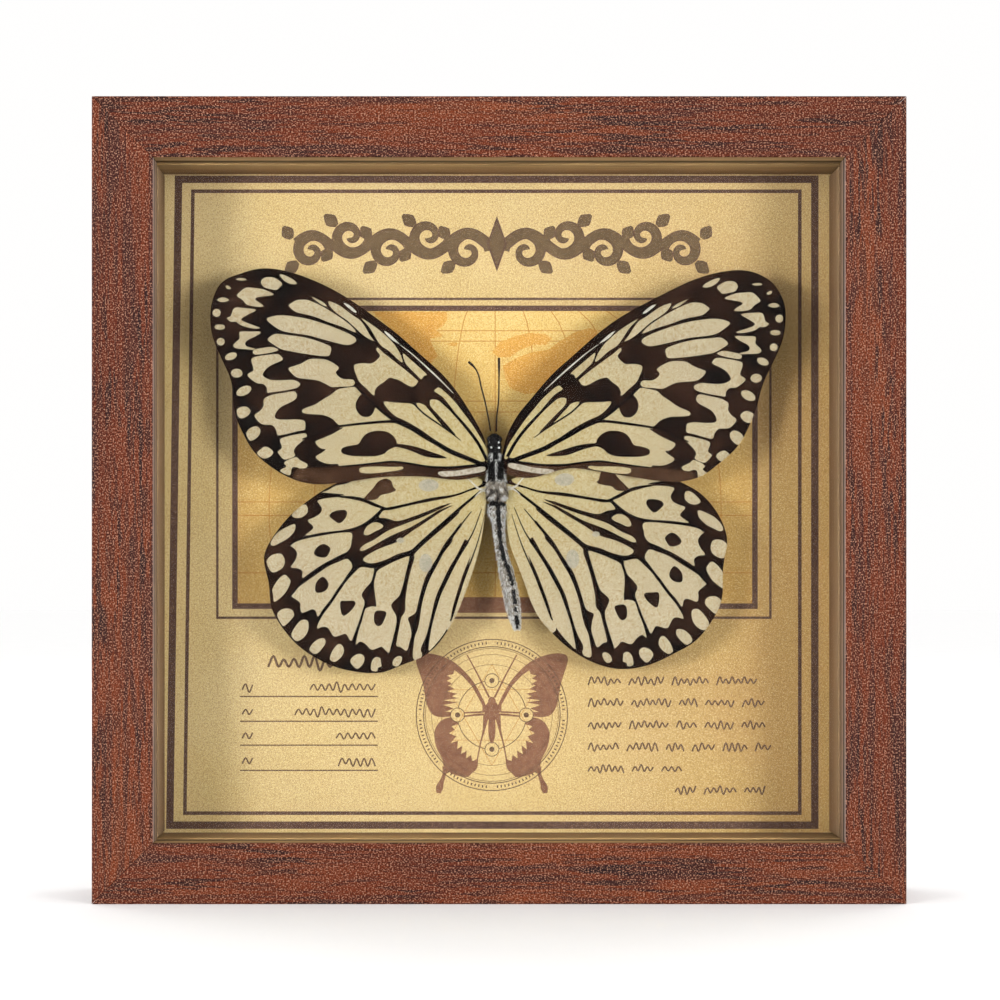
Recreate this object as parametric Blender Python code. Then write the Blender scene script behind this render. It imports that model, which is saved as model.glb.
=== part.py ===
"""A spread butterfly in a shadow-box frame.

Units are metres, +Z is up and the glass faces -Y. The origin is the centre of the frame's underside.
"""

import math
from collections import namedtuple

import bmesh
import bpy
from mathutils import Matrix, Vector, geometry

MM = 0.001
GAP = 0.3 * MM

# Moulding. Depths are measured back from the frame's front face.
FRAME_WIDTH = 180.0 * MM
FRAME_HEIGHT = 178.5 * MM
FRAME_DEPTH = 30.0 * MM
RAIL_WIDTH = 13.6 * MM
LIP_DEPTH = 7.0 * MM
RABBET_WIDTH = 4.6 * MM
RAIL_WALL = RAIL_WIDTH - RABBET_WIDTH
EDGE_RADIUS = 0.5 * MM
EDGE_STEPS = 3
MITRE_GAP = 0.1 * MM

# What the rabbet holds, from front to back.
GLASS_THICKNESS = 1.7 * MM
SPACER_DEPTH = 12.4 * MM
CARD_THICKNESS = 0.5 * MM
BOARD_THICKNESS = 2.4 * MM
GLASS_FRONT = LIP_DEPTH + GAP
SPACER_FRONT = GLASS_FRONT + GLASS_THICKNESS + GAP
CARD_FRONT = SPACER_FRONT + SPACER_DEPTH + GAP
BOARD_FRONT = CARD_FRONT + CARD_THICKNESS + GAP
BOARD_BACK = BOARD_FRONT + BOARD_THICKNESS
PANEL_WIDTH = FRAME_WIDTH - 2.0 * (RAIL_WALL + GAP)
PANEL_HEIGHT = FRAME_HEIGHT - 2.0 * (RAIL_WALL + GAP)
BLOCK_BEVEL = 0.15 * MM

# Framer's points: flat tabs driven into the rails behind the board.
POINT_WIDTH = 8.0 * MM
POINT_NOSE_WIDTH = 4.0 * MM
POINT_LENGTH = 12.0 * MM
POINT_TAPER = 3.0 * MM
POINT_THICKNESS = 0.6 * MM
POINT_EMBED = 3.5 * MM
POINT_SPREAD = 0.25

# Sawtooth hanger on the board, with its middle bowed off the board.
HANGER_LENGTH = 44.0 * MM
HANGER_HEIGHT = 8.0 * MM
HANGER_THICKNESS = 0.6 * MM
HANGER_BOW = 1.7 * MM
HANGER_END = 8.0 * MM
HANGER_RAMP = 2.5 * MM
TOOTH_COUNT = 9
TOOTH_DEPTH = 1.6 * MM
HANGER_DROP = 24.0 * MM
RIVET_RADIUS = 1.0 * MM
RIVET_HEAD_RADIUS = 2.1 * MM
RIVET_HEAD_HEIGHT = 0.9 * MM
RIVET_SHANK = 2.2 * MM
RIVET_SIDES = 20

# Butterfly, placed by the middle of its thorax.
BUTTERFLY_X = -0.55 * MM
BUTTERFLY_Z = 97.4 * MM
WING_PLANE_DEPTH = 13.4 * MM
HINDWING_BEHIND = 0.9 * MM
WING_THICKNESS = 0.3 * MM
WING_RISE = 0.8 * MM
WING_WAVE = 0.25 * MM
WAVE_LENGTH = 55.0 * MM
HALF_SPAN = 65.0 * MM
WING_GRID = 4.0 * MM
OUTLINE_STEPS = 4
BODY_SIDES = 16
BODY_STEPS = 3
ANTENNA_RADIUS = 0.17 * MM
EYE_RADIUS = 0.95 * MM
EYE_OFFSET = 1.0 * MM
PAD_SIZE = (3.6 * MM, 5.0 * MM, 7.0 * MM)

# Wing outlines in millimetres from the middle of the thorax: across, then up. Each runs from the
# front of the root, out along the leading edge, and back along the trailing edge to the root.
FOREWING_LEFT = [
    (-2.3, 5.2), (-5.1, 11.2), (-8.6, 16.7), (-12.1, 20.9), (-17.8, 26.0), (-23.6, 31.0),
    (-34.4, 38.6), (-43.7, 43.0), (-51.7, 44.7), (-57.9, 43.4), (-62.1, 41.2), (-64.2, 36.3),
    (-64.2, 30.3), (-62.3, 25.1), (-59.8, 19.3), (-59.0, 12.5), (-57.3, 7.8), (-53.8, 2.3),
    (-47.1, -2.4), (-40.9, -4.1), (-34.0, -3.6), (-25.9, -2.5), (-16.7, -2.3), (-8.7, -3.1),
    (-2.7, -1.9),
]
FOREWING_RIGHT = [
    (2.4, 4.6), (4.0, 10.1), (7.4, 14.7), (12.5, 20.4), (17.1, 24.6), (26.3, 32.4),
    (36.0, 37.9), (46.4, 42.7), (55.5, 44.3), (61.6, 42.2), (64.6, 38.4), (65.6, 33.8),
    (64.6, 27.5), (60.7, 19.0), (58.8, 12.5), (55.2, 5.0), (50.1, 0.2), (45.5, -2.7),
    (38.4, -3.5), (24.0, -1.3), (16.5, -0.5), (8.4, -2.6), (2.9, -1.6),
]
HINDWING_LEFT = [
    (-2.7, -3.6), (-9.0, -0.8), (-19.0, 0.3), (-28.5, -1.0), (-36.7, -4.2), (-42.3, -7.7),
    (-46.9, -11.6), (-50.8, -16.7), (-52.4, -20.9), (-51.3, -26.6), (-50.6, -32.4),
    (-47.1, -38.1), (-42.5, -42.3), (-35.6, -45.7), (-27.0, -46.9), (-20.8, -44.9),
    (-15.1, -42.3), (-10.9, -37.4), (-7.5, -30.5), (-4.2, -20.9), (-2.8, -13.5), (-2.6, -8.6),
]
HINDWING_RIGHT = [
    (3.3, -3.4), (10.0, -1.0), (18.0, 1.0), (28.0, 1.0), (36.0, -0.8), (42.5, -3.8),
    (46.9, -6.5), (50.6, -11.1), (52.5, -16.3), (51.9, -20.9), (51.5, -24.3), (51.4, -29.6),
    (49.7, -34.0), (45.7, -39.3), (40.4, -42.5), (34.9, -45.0), (29.0, -46.0), (23.6, -45.0),
    (18.5, -42.5), (13.9, -38.8), (9.3, -33.3), (6.6, -25.5), (4.9, -20.9), (3.5, -16.0),
    (3.4, -8.6),
]

# Body stations in millimetres: across, up, half width, half depth, and how far behind the wings.
HEAD_STATIONS = [
    (-0.1, 3.4, 0.6, 0.6, 0.3), (-0.1, 3.9, 1.3, 1.3, 0.2), (-0.2, 5.2, 1.5, 1.5, 0.0),
    (-0.2, 6.5, 1.2, 1.2, -0.1), (-0.2, 7.2, 0.5, 0.5, -0.1),
]
THORAX_STATIONS = [
    (-0.1, 3.0, 0.6, 0.6, 0.4), (0.0, 2.3, 1.5, 1.6, 0.4), (0.1, 0.4, 1.9, 2.2, 0.4),
    (0.2, -2.2, 2.1, 2.5, 0.4), (0.3, -5.2, 2.3, 2.5, 0.4), (0.4, -7.0, 2.0, 2.0, 0.5),
    (0.4, -7.6, 0.9, 0.9, 0.6),
]
ABDOMEN_STATIONS = [
    (0.4, -8.0, 0.8, 0.8, 0.8), (0.5, -8.8, 1.8, 1.7, 0.8), (0.8, -12.6, 1.35, 1.5, 1.0),
    (1.5, -19.2, 1.4, 1.6, 1.4), (2.5, -23.2, 1.75, 1.8, 1.6), (3.3, -27.1, 1.7, 1.7, 1.7),
    (3.9, -30.2, 1.5, 1.5, 1.7), (4.5, -33.6, 1.3, 1.3, 1.7), (4.9, -36.2, 0.8, 0.8, 1.7),
    (5.0, -36.9, 0.3, 0.3, 1.7),
]

# Antenna routes in millimetres: across, up, and how far in front of the wings.
ANTENNA_LEFT = [(-1.1, 7.9, 0.4), (-1.5, 10.3, 0.7), (-2.3, 14.3, 1.1), (-3.2, 17.7, 1.3),
                (-3.9, 20.7, 1.4), (-4.9, 22.4, 1.4), (-6.1, 23.5, 1.3)]
ANTENNA_RIGHT = [(0.2, 7.8, 0.4), (0.3, 11.2, 0.8), (0.7, 14.7, 1.1), (0.8, 19.9, 1.4),
                 (0.8, 24.4, 1.3)]
ANTENNA_STEPS = 5
CLUB_START = 0.78
CLUB_SWELL = 0.7

Finish = namedtuple("Finish", "colour roughness metallic")
WOOD = Finish((0.17, 0.055, 0.03), 0.5, 0.0)
GLASS = Finish((0.95, 0.97, 0.96), 0.03, 0.0)
GOLD_STRIP = Finish((0.25, 0.17, 0.08), 0.45, 0.0)
PRINTED_CARD = Finish((0.57, 0.39, 0.17), 0.5, 0.0)
FIBREBOARD = Finish((0.20, 0.12, 0.065), 0.8, 0.0)
STEEL = Finish((0.55, 0.55, 0.54), 0.35, 1.0)
FOAM = Finish((0.85, 0.84, 0.80), 0.9, 0.0)
WING_SCALES = Finish((0.70, 0.62, 0.42), 0.7, 0.0)
BLACK_CHITIN = Finish((0.02, 0.016, 0.014), 0.5, 0.0)
GREY_FUR = Finish((0.42, 0.39, 0.34), 0.9, 0.0)

# Turn of each side about the frame's centre, from the top rail, and whether it runs upright.
SIDES = {"top": (0.0, False), "right": (90.0, True), "bottom": (180.0, False), "left": (270.0, True)}


def at_depth(depth):
    """Y of a plane that lies this far behind the frame's front face."""
    return depth - FRAME_DEPTH / 2.0


def side_length(upright):
    return FRAME_HEIGHT if upright else FRAME_WIDTH


def side_reach(upright):
    """Distance from the frame's centre out to the side's outer edge."""
    return FRAME_WIDTH / 2.0 if upright else FRAME_HEIGHT / 2.0


def clear_scene():
    for old in list(bpy.data.objects):
        bpy.data.objects.remove(old, do_unlink=True)


def make_material(name, finish):
    material = bpy.data.materials.new(name)
    material.use_nodes = True
    shader = material.node_tree.nodes["Principled BSDF"]
    shader.inputs["Base Color"].default_value = (*finish.colour, 1.0)
    shader.inputs["Roughness"].default_value = finish.roughness
    shader.inputs["Metallic"].default_value = finish.metallic
    if finish is GLASS:
        shader.inputs["Transmission Weight"].default_value = 1.0
    return material


def add_empty(name, location):
    empty = bpy.data.objects.new(name, None)
    empty.location = location
    bpy.context.scene.collection.objects.link(empty)
    return empty


def add_object(name, data, finish, parent=None):
    obj = bpy.data.objects.new(name, data)
    obj.parent = parent
    bpy.context.scene.collection.objects.link(obj)
    data.materials.append(make_material(name + "_finish", finish))
    return obj


def add_bmesh(name, bm, finish, parent=None, smooth_angle=None):
    """Turn a bmesh into an object, with its faces pointing out."""
    bmesh.ops.recalc_face_normals(bm, faces=bm.faces)
    mesh = bpy.data.meshes.new(name)
    bm.to_mesh(mesh)
    bm.free()
    if smooth_angle is not None:
        mesh.shade_smooth()
        mesh.set_sharp_from_angle(angle=math.radians(smooth_angle))
    return add_object(name, mesh, finish, parent)


def add_block(name, finish, size, centre, parent=None):
    """A box with a fine bevel on every edge."""
    bm = bmesh.new()
    bmesh.ops.create_cube(bm, size=1.0)
    bmesh.ops.scale(bm, vec=size, verts=bm.verts)
    obj = add_bmesh(name, bm, finish, parent)
    obj.location = centre
    bevel = obj.modifiers.new("fine_edges", "BEVEL")
    bevel.width = BLOCK_BEVEL
    bevel.segments = 1
    return obj


def bridge_rings(bm, rings, cap):
    """Join closed rings of vertices in turn. cap closes each end with one face."""
    count = len(rings[0])
    for near, far in zip(rings, rings[1:]):
        for i in range(count):
            j = (i + 1) % count
            bm.faces.new((near[i], near[j], far[j], far[i]))
    if cap:
        bm.faces.new(rings[0])
        bm.faces.new(rings[-1])


def smooth_route(points, steps):
    """Catmull-Rom points along an open route, for tuples of any length."""
    ends = [points[0], *points, points[-1]]
    route = []
    for a, b, c, d in zip(ends, ends[1:], ends[2:], ends[3:]):
        for step in range(steps):
            t = step / steps
            route.append(tuple(
                0.5 * (2.0 * q + (r - p) * t + (2.0 * p - 5.0 * q + 4.0 * r - s) * t * t
                       + (3.0 * q - p - 3.0 * r + s) * t ** 3)
                for p, q, r, s in zip(a, b, c, d)
            ))
    route.append(tuple(points[-1]))
    return route


def cut_with(obj, cutter):
    """Cut one object from another and hide the cutter."""
    cutter.hide_render = True
    cutter.display_type = "WIRE"
    cut = obj.modifiers.new("cut_" + cutter.name, "BOOLEAN")
    cut.operation = "DIFFERENCE"
    cut.object = cutter


def edge_arc(inset, start_angle):
    """A quarter round of the moulding's front edges, as (inset, depth) points."""
    arc = []
    for step in range(EDGE_STEPS + 1):
        angle = math.radians(start_angle + 90.0 * step / EDGE_STEPS)
        arc.append((inset + EDGE_RADIUS * math.cos(angle), EDGE_RADIUS * (1.0 + math.sin(angle))))
    return arc


def rail_section():
    """The moulding's section as (inset from the outer edge, depth) points."""
    return [
        *edge_arc(EDGE_RADIUS, 180.0),
        *edge_arc(RAIL_WIDTH - EDGE_RADIUS, 270.0),
        (RAIL_WIDTH, LIP_DEPTH),
        (RAIL_WALL, LIP_DEPTH),
        (RAIL_WALL, FRAME_DEPTH),
        (0.0, FRAME_DEPTH),
    ]


def turn_to_side(obj, side):
    obj.rotation_euler = (0.0, math.radians(SIDES[side][0]), 0.0)


def add_rail(side, frame_centre):
    """One mitred rail: its section slides in at each end by its own inset."""
    upright = SIDES[side][1]
    half = side_length(upright) / 2.0 - MITRE_GAP / 2.0
    reach = side_reach(upright)
    bm = bmesh.new()
    rings = []
    for end in (-1.0, 1.0):
        rings.append([
            bm.verts.new((end * (half - inset), at_depth(depth), reach - inset))
            for inset, depth in rail_section()
        ])
    bridge_rings(bm, rings, cap=True)
    rail = add_bmesh("rail_" + side, bm, WOOD, frame_centre, smooth_angle=40.0)
    turn_to_side(rail, side)
    return rail


def add_point(side, number, rail, frame_centre):
    """A framer's point and the slot that it is driven into."""
    upright = SIDES[side][1]
    along = (number - 1.5) * 2.0 * POINT_SPREAD * side_length(upright)
    wall = side_reach(upright) - RAIL_WALL
    half = POINT_WIDTH / 2.0
    nose = POINT_NOSE_WIDTH / 2.0
    tail_z = wall + POINT_EMBED
    shoulder_z = tail_z - POINT_LENGTH + POINT_TAPER
    outline = [(-half, tail_z), (half, tail_z), (half, shoulder_z), (nose, shoulder_z - POINT_TAPER),
               (-nose, shoulder_z - POINT_TAPER), (-half, shoulder_z)]
    front = at_depth(BOARD_BACK + GAP)
    bm = bmesh.new()
    rings = []
    for y in (front, front + POINT_THICKNESS):
        rings.append([bm.verts.new((along + x, y, z)) for x, z in outline])
    bridge_rings(bm, rings, cap=True)
    point = add_bmesh(f"point_{side}_{number}", bm, STEEL, frame_centre)
    turn_to_side(point, side)

    slot = add_bmesh(f"slot_{side}_{number}", slot_cutter(along, front, wall), STEEL, frame_centre)
    turn_to_side(slot, side)
    cut_with(rail, slot)


def slot_cutter(along, front, wall):
    """A box that clears a point's embedded tail by the gap on every side."""
    bm = bmesh.new()
    bmesh.ops.create_cube(bm, size=1.0)
    size = (POINT_WIDTH + 2.0 * GAP, POINT_THICKNESS + 2.0 * GAP, 2.0 * (POINT_EMBED + GAP))
    bmesh.ops.scale(bm, vec=size, verts=bm.verts)
    middle = (along, front + POINT_THICKNESS / 2.0, wall)
    bmesh.ops.translate(bm, vec=middle, verts=bm.verts)
    return bm


def add_frame(frame_centre):
    for side in SIDES:
        rail = add_rail(side, frame_centre)
        for number in (1, 2):
            add_point(side, number, rail, frame_centre)


def add_panel(name, finish, front, thickness, frame_centre):
    """A sheet that fills the rabbet: the glass, the card or the board."""
    return add_block(name, finish, (PANEL_WIDTH, thickness, PANEL_HEIGHT),
                     (0.0, at_depth(front + thickness / 2.0), 0.0), frame_centre)


def add_spacers(frame_centre):
    """Strips that keep the card off the glass, flush with the lip. The upright pair fits between."""
    thickness = RABBET_WIDTH - GAP
    for side, (_, upright) in SIDES.items():
        length = PANEL_WIDTH
        if upright:
            length = PANEL_HEIGHT - 2.0 * (thickness + GAP)
        reach = side_reach(upright) - RAIL_WALL - GAP - thickness / 2.0
        spacer = add_block("spacer_" + side, GOLD_STRIP, (length, SPACER_DEPTH, thickness),
                           (0.0, 0.0, 0.0), frame_centre)
        turn_to_side(spacer, side)
        outward = Matrix.Rotation(math.radians(SIDES[side][0]), 3, "Y") @ Vector((0.0, 0.0, reach))
        spacer.location = outward + Vector((0.0, at_depth(SPACER_FRONT + SPACER_DEPTH / 2.0), 0.0))


def hanger_stations():
    """Stations along the hanger: across, height of its lower edge, and how far it is bowed out."""
    half = HANGER_LENGTH / 2.0
    flat = half - HANGER_END
    bowed = flat - HANGER_RAMP
    low = -HANGER_HEIGHT / 2.0
    middle = []
    for tooth in range(2 * TOOTH_COUNT + 1):
        across = -bowed + 2.0 * bowed * tooth / (2 * TOOTH_COUNT)
        notch = TOOTH_DEPTH if tooth % 2 else 0.0
        middle.append((across, low + notch, HANGER_BOW))
    return [(-half, low, 0.0), (-flat, low, 0.0), *middle, (flat, low, 0.0), (half, low, 0.0)]


def add_rivet(name, x, z, board, hanger, frame_centre):
    """A domed rivet, turned about its own axis, and the hole that it goes through."""
    hanger_back = BOARD_BACK + GAP + HANGER_THICKNESS
    head_front = hanger_back + GAP
    profile = [(0.0, head_front - RIVET_SHANK), (RIVET_RADIUS, head_front - RIVET_SHANK),
               (RIVET_RADIUS, head_front), (RIVET_HEAD_RADIUS, head_front),
               (0.7 * RIVET_HEAD_RADIUS, head_front + 0.7 * RIVET_HEAD_HEIGHT),
               (0.0, head_front + RIVET_HEAD_HEIGHT)]
    bm = bmesh.new()
    line = [bm.verts.new((radius, at_depth(depth), 0.0)) for radius, depth in profile]
    edges = [bm.edges.new(pair) for pair in zip(line, line[1:])]
    bmesh.ops.spin(bm, geom=line + edges, cent=(0.0, 0.0, 0.0), axis=(0.0, 1.0, 0.0),
                   angle=2.0 * math.pi, steps=RIVET_SIDES)
    bmesh.ops.remove_doubles(bm, verts=bm.verts, dist=0.001 * MM)
    rivet = add_bmesh(name, bm, STEEL, frame_centre, smooth_angle=40.0)
    rivet.location = (x, 0.0, z)

    bm = bmesh.new()
    bmesh.ops.create_cone(bm, cap_ends=True, segments=RIVET_SIDES, radius1=RIVET_RADIUS + GAP,
                          radius2=RIVET_RADIUS + GAP, depth=RIVET_SHANK + 2.0 * GAP)
    hole = add_bmesh(name + "_hole", bm, STEEL, frame_centre)
    hole.rotation_euler = (math.radians(90.0), 0.0, 0.0)
    hole.location = (x, at_depth(head_front - RIVET_SHANK / 2.0), z)
    cut_with(board, hole)
    cut_with(hanger, hole)


def add_hanger(board, frame_centre):
    z = FRAME_HEIGHT / 2.0 - HANGER_DROP
    front = at_depth(BOARD_BACK + GAP)
    top = HANGER_HEIGHT / 2.0
    bm = bmesh.new()
    rings = []
    for across, low, bow in hanger_stations():
        y = front + bow
        section = [(y, low), (y, top), (y + HANGER_THICKNESS, top), (y + HANGER_THICKNESS, low)]
        rings.append([bm.verts.new((across, depth, z + up)) for depth, up in section])
    bridge_rings(bm, rings, cap=True)
    hanger = add_bmesh("sawtooth_hanger", bm, STEEL, frame_centre)
    rivet_x = (HANGER_LENGTH - HANGER_END) / 2.0
    add_rivet("hanger_rivet_left", -rivet_x, z, board, hanger, frame_centre)
    add_rivet("hanger_rivet_right", rivet_x, z, board, hanger, frame_centre)


def inside_outline(x, z, outline):
    """Even-odd test of a point against a closed outline."""
    inside = False
    for (ax, az), (bx, bz) in zip(outline, [*outline[1:], outline[0]]):
        if (az > z) != (bz > z) and x < ax + (bx - ax) * (z - az) / (bz - az):
            inside = not inside
    return inside


def wing_fill(outline):
    """Grid points inside a wing that stay clear of its edge."""
    xs = [x for x, _ in outline]
    zs = [z for _, z in outline]
    clear = 0.6 * WING_GRID
    fill = []
    for i in range(math.ceil(min(xs) / WING_GRID), math.floor(max(xs) / WING_GRID) + 1):
        for j in range(math.ceil(min(zs) / WING_GRID), math.floor(max(zs) / WING_GRID) + 1):
            x, z = i * WING_GRID, j * WING_GRID
            near = min(math.hypot(x - ox, z - oz) for ox, oz in outline)
            if near > clear and inside_outline(x, z, outline):
                fill.append((x, z))
    return fill


def wing_y(x, z, behind):
    """The wings lift towards their tips, with a low wave along them."""
    rise = WING_RISE * (x / HALF_SPAN) ** 2
    wave = WING_WAVE * math.sin(2.0 * math.pi * z / WAVE_LENGTH) * abs(x) / HALF_SPAN
    return behind - rise + wave


def add_wing(name, points_mm, behind, butterfly):
    """A thin curved sheet inside a smooth outline."""
    outline = [(x * MM, z * MM) for x, z in smooth_route(points_mm, OUTLINE_STEPS)]
    count = len(outline)
    points = [Vector(point) for point in outline + wing_fill(outline)]
    rim = [(i, (i + 1) % count) for i in range(count)]
    verts, _, faces, *_ = geometry.delaunay_2d_cdt(points, rim, [], 1, 0.001 * MM)
    bm = bmesh.new()
    sheet = [bm.verts.new((x, wing_y(x, z, behind), z)) for x, z in verts]
    for face in faces:
        bm.faces.new([sheet[i] for i in face])
    wing = add_bmesh(name, bm, WING_SCALES, butterfly, smooth_angle=50.0)
    solid = wing.modifiers.new("wing_thickness", "SOLIDIFY")
    solid.thickness = WING_THICKNESS
    solid.offset = 0.0
    return wing


def lofted_body(stations_mm):
    """Elliptical rings along a body, closed at both ends."""
    bm = bmesh.new()
    rings = []
    for x, z, wide, deep, behind in smooth_route(stations_mm, BODY_STEPS):
        ring = []
        for side in range(BODY_SIDES):
            angle = 2.0 * math.pi * side / BODY_SIDES
            place = (x + wide * math.cos(angle), behind + deep * math.sin(angle), z)
            ring.append(bm.verts.new(Vector(place) * MM))
        rings.append(ring)
    bridge_rings(bm, rings, cap=True)
    return bm


def add_head(butterfly):
    """A round head with a bulging eye on each side."""
    head = add_bmesh("head", lofted_body(HEAD_STATIONS), BLACK_CHITIN, butterfly, smooth_angle=50.0)
    middle = Vector((HEAD_STATIONS[2][0], HEAD_STATIONS[2][4], HEAD_STATIONS[2][1])) * MM
    for side, name in ((-1.0, "eye_left"), (1.0, "eye_right")):
        bm = bmesh.new()
        bmesh.ops.create_uvsphere(bm, u_segments=14, v_segments=10, radius=EYE_RADIUS)
        eye = add_bmesh(name, bm, BLACK_CHITIN, butterfly, smooth_angle=50.0)
        eye.location = middle + Vector((side * EYE_OFFSET, 0.0, 0.0))
        eye.hide_render = True
        eye.display_type = "WIRE"
        union = head.modifiers.new("join_" + name, "BOOLEAN")
        union.operation = "UNION"
        union.object = eye


def add_antenna(name, route_mm, butterfly):
    """A thin tapering thread that swells into a club at its tip."""
    curve = bpy.data.curves.new(name, "CURVE")
    curve.dimensions = "3D"
    curve.bevel_depth = ANTENNA_RADIUS
    curve.bevel_resolution = 2
    curve.use_fill_caps = True
    route = smooth_route(route_mm, ANTENNA_STEPS)
    spline = curve.splines.new("POLY")
    spline.points.add(len(route) - 1)
    for i, (x, z, forward) in enumerate(route):
        along = i / (len(route) - 1)
        club = max(0.0, (along - CLUB_START) / (1.0 - CLUB_START))
        spline.points[i].co = (x * MM, -forward * MM, z * MM, 1.0)
        spline.points[i].radius = 1.0 + CLUB_SWELL * math.sin(0.75 * math.pi * club)
    add_object(name, curve, BLACK_CHITIN, butterfly)


def add_butterfly():
    butterfly = add_empty("butterfly_centre", (BUTTERFLY_X, at_depth(WING_PLANE_DEPTH), BUTTERFLY_Z))
    add_wing("forewing_left", FOREWING_LEFT, 0.0, butterfly)
    add_wing("forewing_right", FOREWING_RIGHT, 0.0, butterfly)
    add_wing("hindwing_left", HINDWING_LEFT, HINDWING_BEHIND, butterfly)
    add_wing("hindwing_right", HINDWING_RIGHT, HINDWING_BEHIND, butterfly)
    add_head(butterfly)
    add_bmesh("thorax", lofted_body(THORAX_STATIONS), BLACK_CHITIN, butterfly, smooth_angle=50.0)
    add_bmesh("abdomen", lofted_body(ABDOMEN_STATIONS), GREY_FUR, butterfly, smooth_angle=50.0)
    add_antenna("antenna_left", ANTENNA_LEFT, butterfly)
    add_antenna("antenna_right", ANTENNA_RIGHT, butterfly)
    pad_y = at_depth(CARD_FRONT) - GAP - PAD_SIZE[1] / 2.0
    add_block("mounting_pad", FOAM, PAD_SIZE, (BUTTERFLY_X, pad_y, BUTTERFLY_Z + THORAX_STATIONS[3][1] * MM))


def build():
    clear_scene()
    frame_centre = add_empty("frame_centre", (0.0, 0.0, FRAME_HEIGHT / 2.0))
    add_frame(frame_centre)
    add_panel("glass_pane", GLASS, GLASS_FRONT, GLASS_THICKNESS, frame_centre)
    add_spacers(frame_centre)
    add_panel("backing_card", PRINTED_CARD, CARD_FRONT, CARD_THICKNESS, frame_centre)
    board = add_panel("backing_board", FIBREBOARD, BOARD_FRONT, BOARD_THICKNESS, frame_centre)
    add_hanger(board, frame_centre)
    add_butterfly()


build()
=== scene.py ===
"""Looks of the framed butterfly specimen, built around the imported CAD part.

A shadow-box frame in wood-grain wrap holds one spread black-and-cream butterfly over a printed card.
The wings and the card are thin sheets whose markings are part of the mesh, so every edge is crisp.
Outlines are in millimetres: those of the butterfly are measured from its thorax, +x to the right and
+z up, and those of the card are in the frame's own X and Z.
"""

import math
import random

import bpy
import numpy as np
from mathutils import Matrix, Vector, geometry, noise


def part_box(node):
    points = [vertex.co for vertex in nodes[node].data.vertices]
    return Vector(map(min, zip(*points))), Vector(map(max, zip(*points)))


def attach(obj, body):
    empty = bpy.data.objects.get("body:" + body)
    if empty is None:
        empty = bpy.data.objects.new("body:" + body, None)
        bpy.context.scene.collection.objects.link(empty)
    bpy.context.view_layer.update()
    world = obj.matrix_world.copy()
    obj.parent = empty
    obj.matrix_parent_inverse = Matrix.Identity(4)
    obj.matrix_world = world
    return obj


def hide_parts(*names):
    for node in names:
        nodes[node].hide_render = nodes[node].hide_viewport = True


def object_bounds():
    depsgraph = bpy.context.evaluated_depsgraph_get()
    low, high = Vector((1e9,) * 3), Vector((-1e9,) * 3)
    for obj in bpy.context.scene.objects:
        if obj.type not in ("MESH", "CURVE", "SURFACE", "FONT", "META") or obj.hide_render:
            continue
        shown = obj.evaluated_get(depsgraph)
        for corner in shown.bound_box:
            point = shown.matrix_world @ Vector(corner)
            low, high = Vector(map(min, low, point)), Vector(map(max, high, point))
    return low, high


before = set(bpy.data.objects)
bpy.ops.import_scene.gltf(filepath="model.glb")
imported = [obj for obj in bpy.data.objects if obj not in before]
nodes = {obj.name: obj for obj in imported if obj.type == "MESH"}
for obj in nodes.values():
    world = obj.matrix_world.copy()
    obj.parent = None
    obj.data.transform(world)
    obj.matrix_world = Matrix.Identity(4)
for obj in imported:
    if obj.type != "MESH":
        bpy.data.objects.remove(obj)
cad_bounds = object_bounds()

MM = 0.001
FRONT_Y = cad_bounds[0][1]          # the rails' front face
PAD_LOW, PAD_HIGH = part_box("mounting_pad")
CARD_LOW, CARD_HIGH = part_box("backing_card")
THORAX_ABOVE_PAD = 2.2
WING_DEPTH = 13.4                   # from the rails' front face back to the wings' plane
BUTTERFLY_X = (PAD_LOW.x + PAD_HIGH.x) / 2
BUTTERFLY_Z = (PAD_LOW.z + PAD_HIGH.z) / 2 + THORAX_ABOVE_PAD * MM
WING_PLANE_Y = FRONT_Y + WING_DEPTH * MM
BUTTERFLY_AT = (BUTTERFLY_X / MM, WING_PLANE_Y / MM, BUTTERFLY_Z / MM)

# the wings' surface, as in the CAD part, and the ripple and raised veins that it has besides
HINDWING_BEHIND = 0.9
WING_THICKNESS = 0.24
WING_RISE = 0.8
WING_WAVE = 0.25
WAVE_LENGTH = 55.0
HALF_SPAN = 65.0
RIPPLE = 0.16
RIPPLE_LENGTH = 5
VEIN_RISE, VEIN_REACH = 0.12, 0.55

# the sheets' grids, how near corners are merged, and the angle from which an edge is sharp
WING_SPACING, CARD_SPACING = 1.6, 8.0
MERGE_DISTANCE = 0.01
SHARP_ANGLE = math.radians(40)

# how the left wings' markings lie on the right wings: (x from x, z, shift), (z from x, z, shift)
RIGHT_FOREWING_FIT = ((-0.974, 0.057, 0.8), (0.034, 0.998, 0.9))
RIGHT_HINDWING_FIT = ((-0.979, -0.068, 0.6), (-0.066, 1.023, 0.4))

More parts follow.
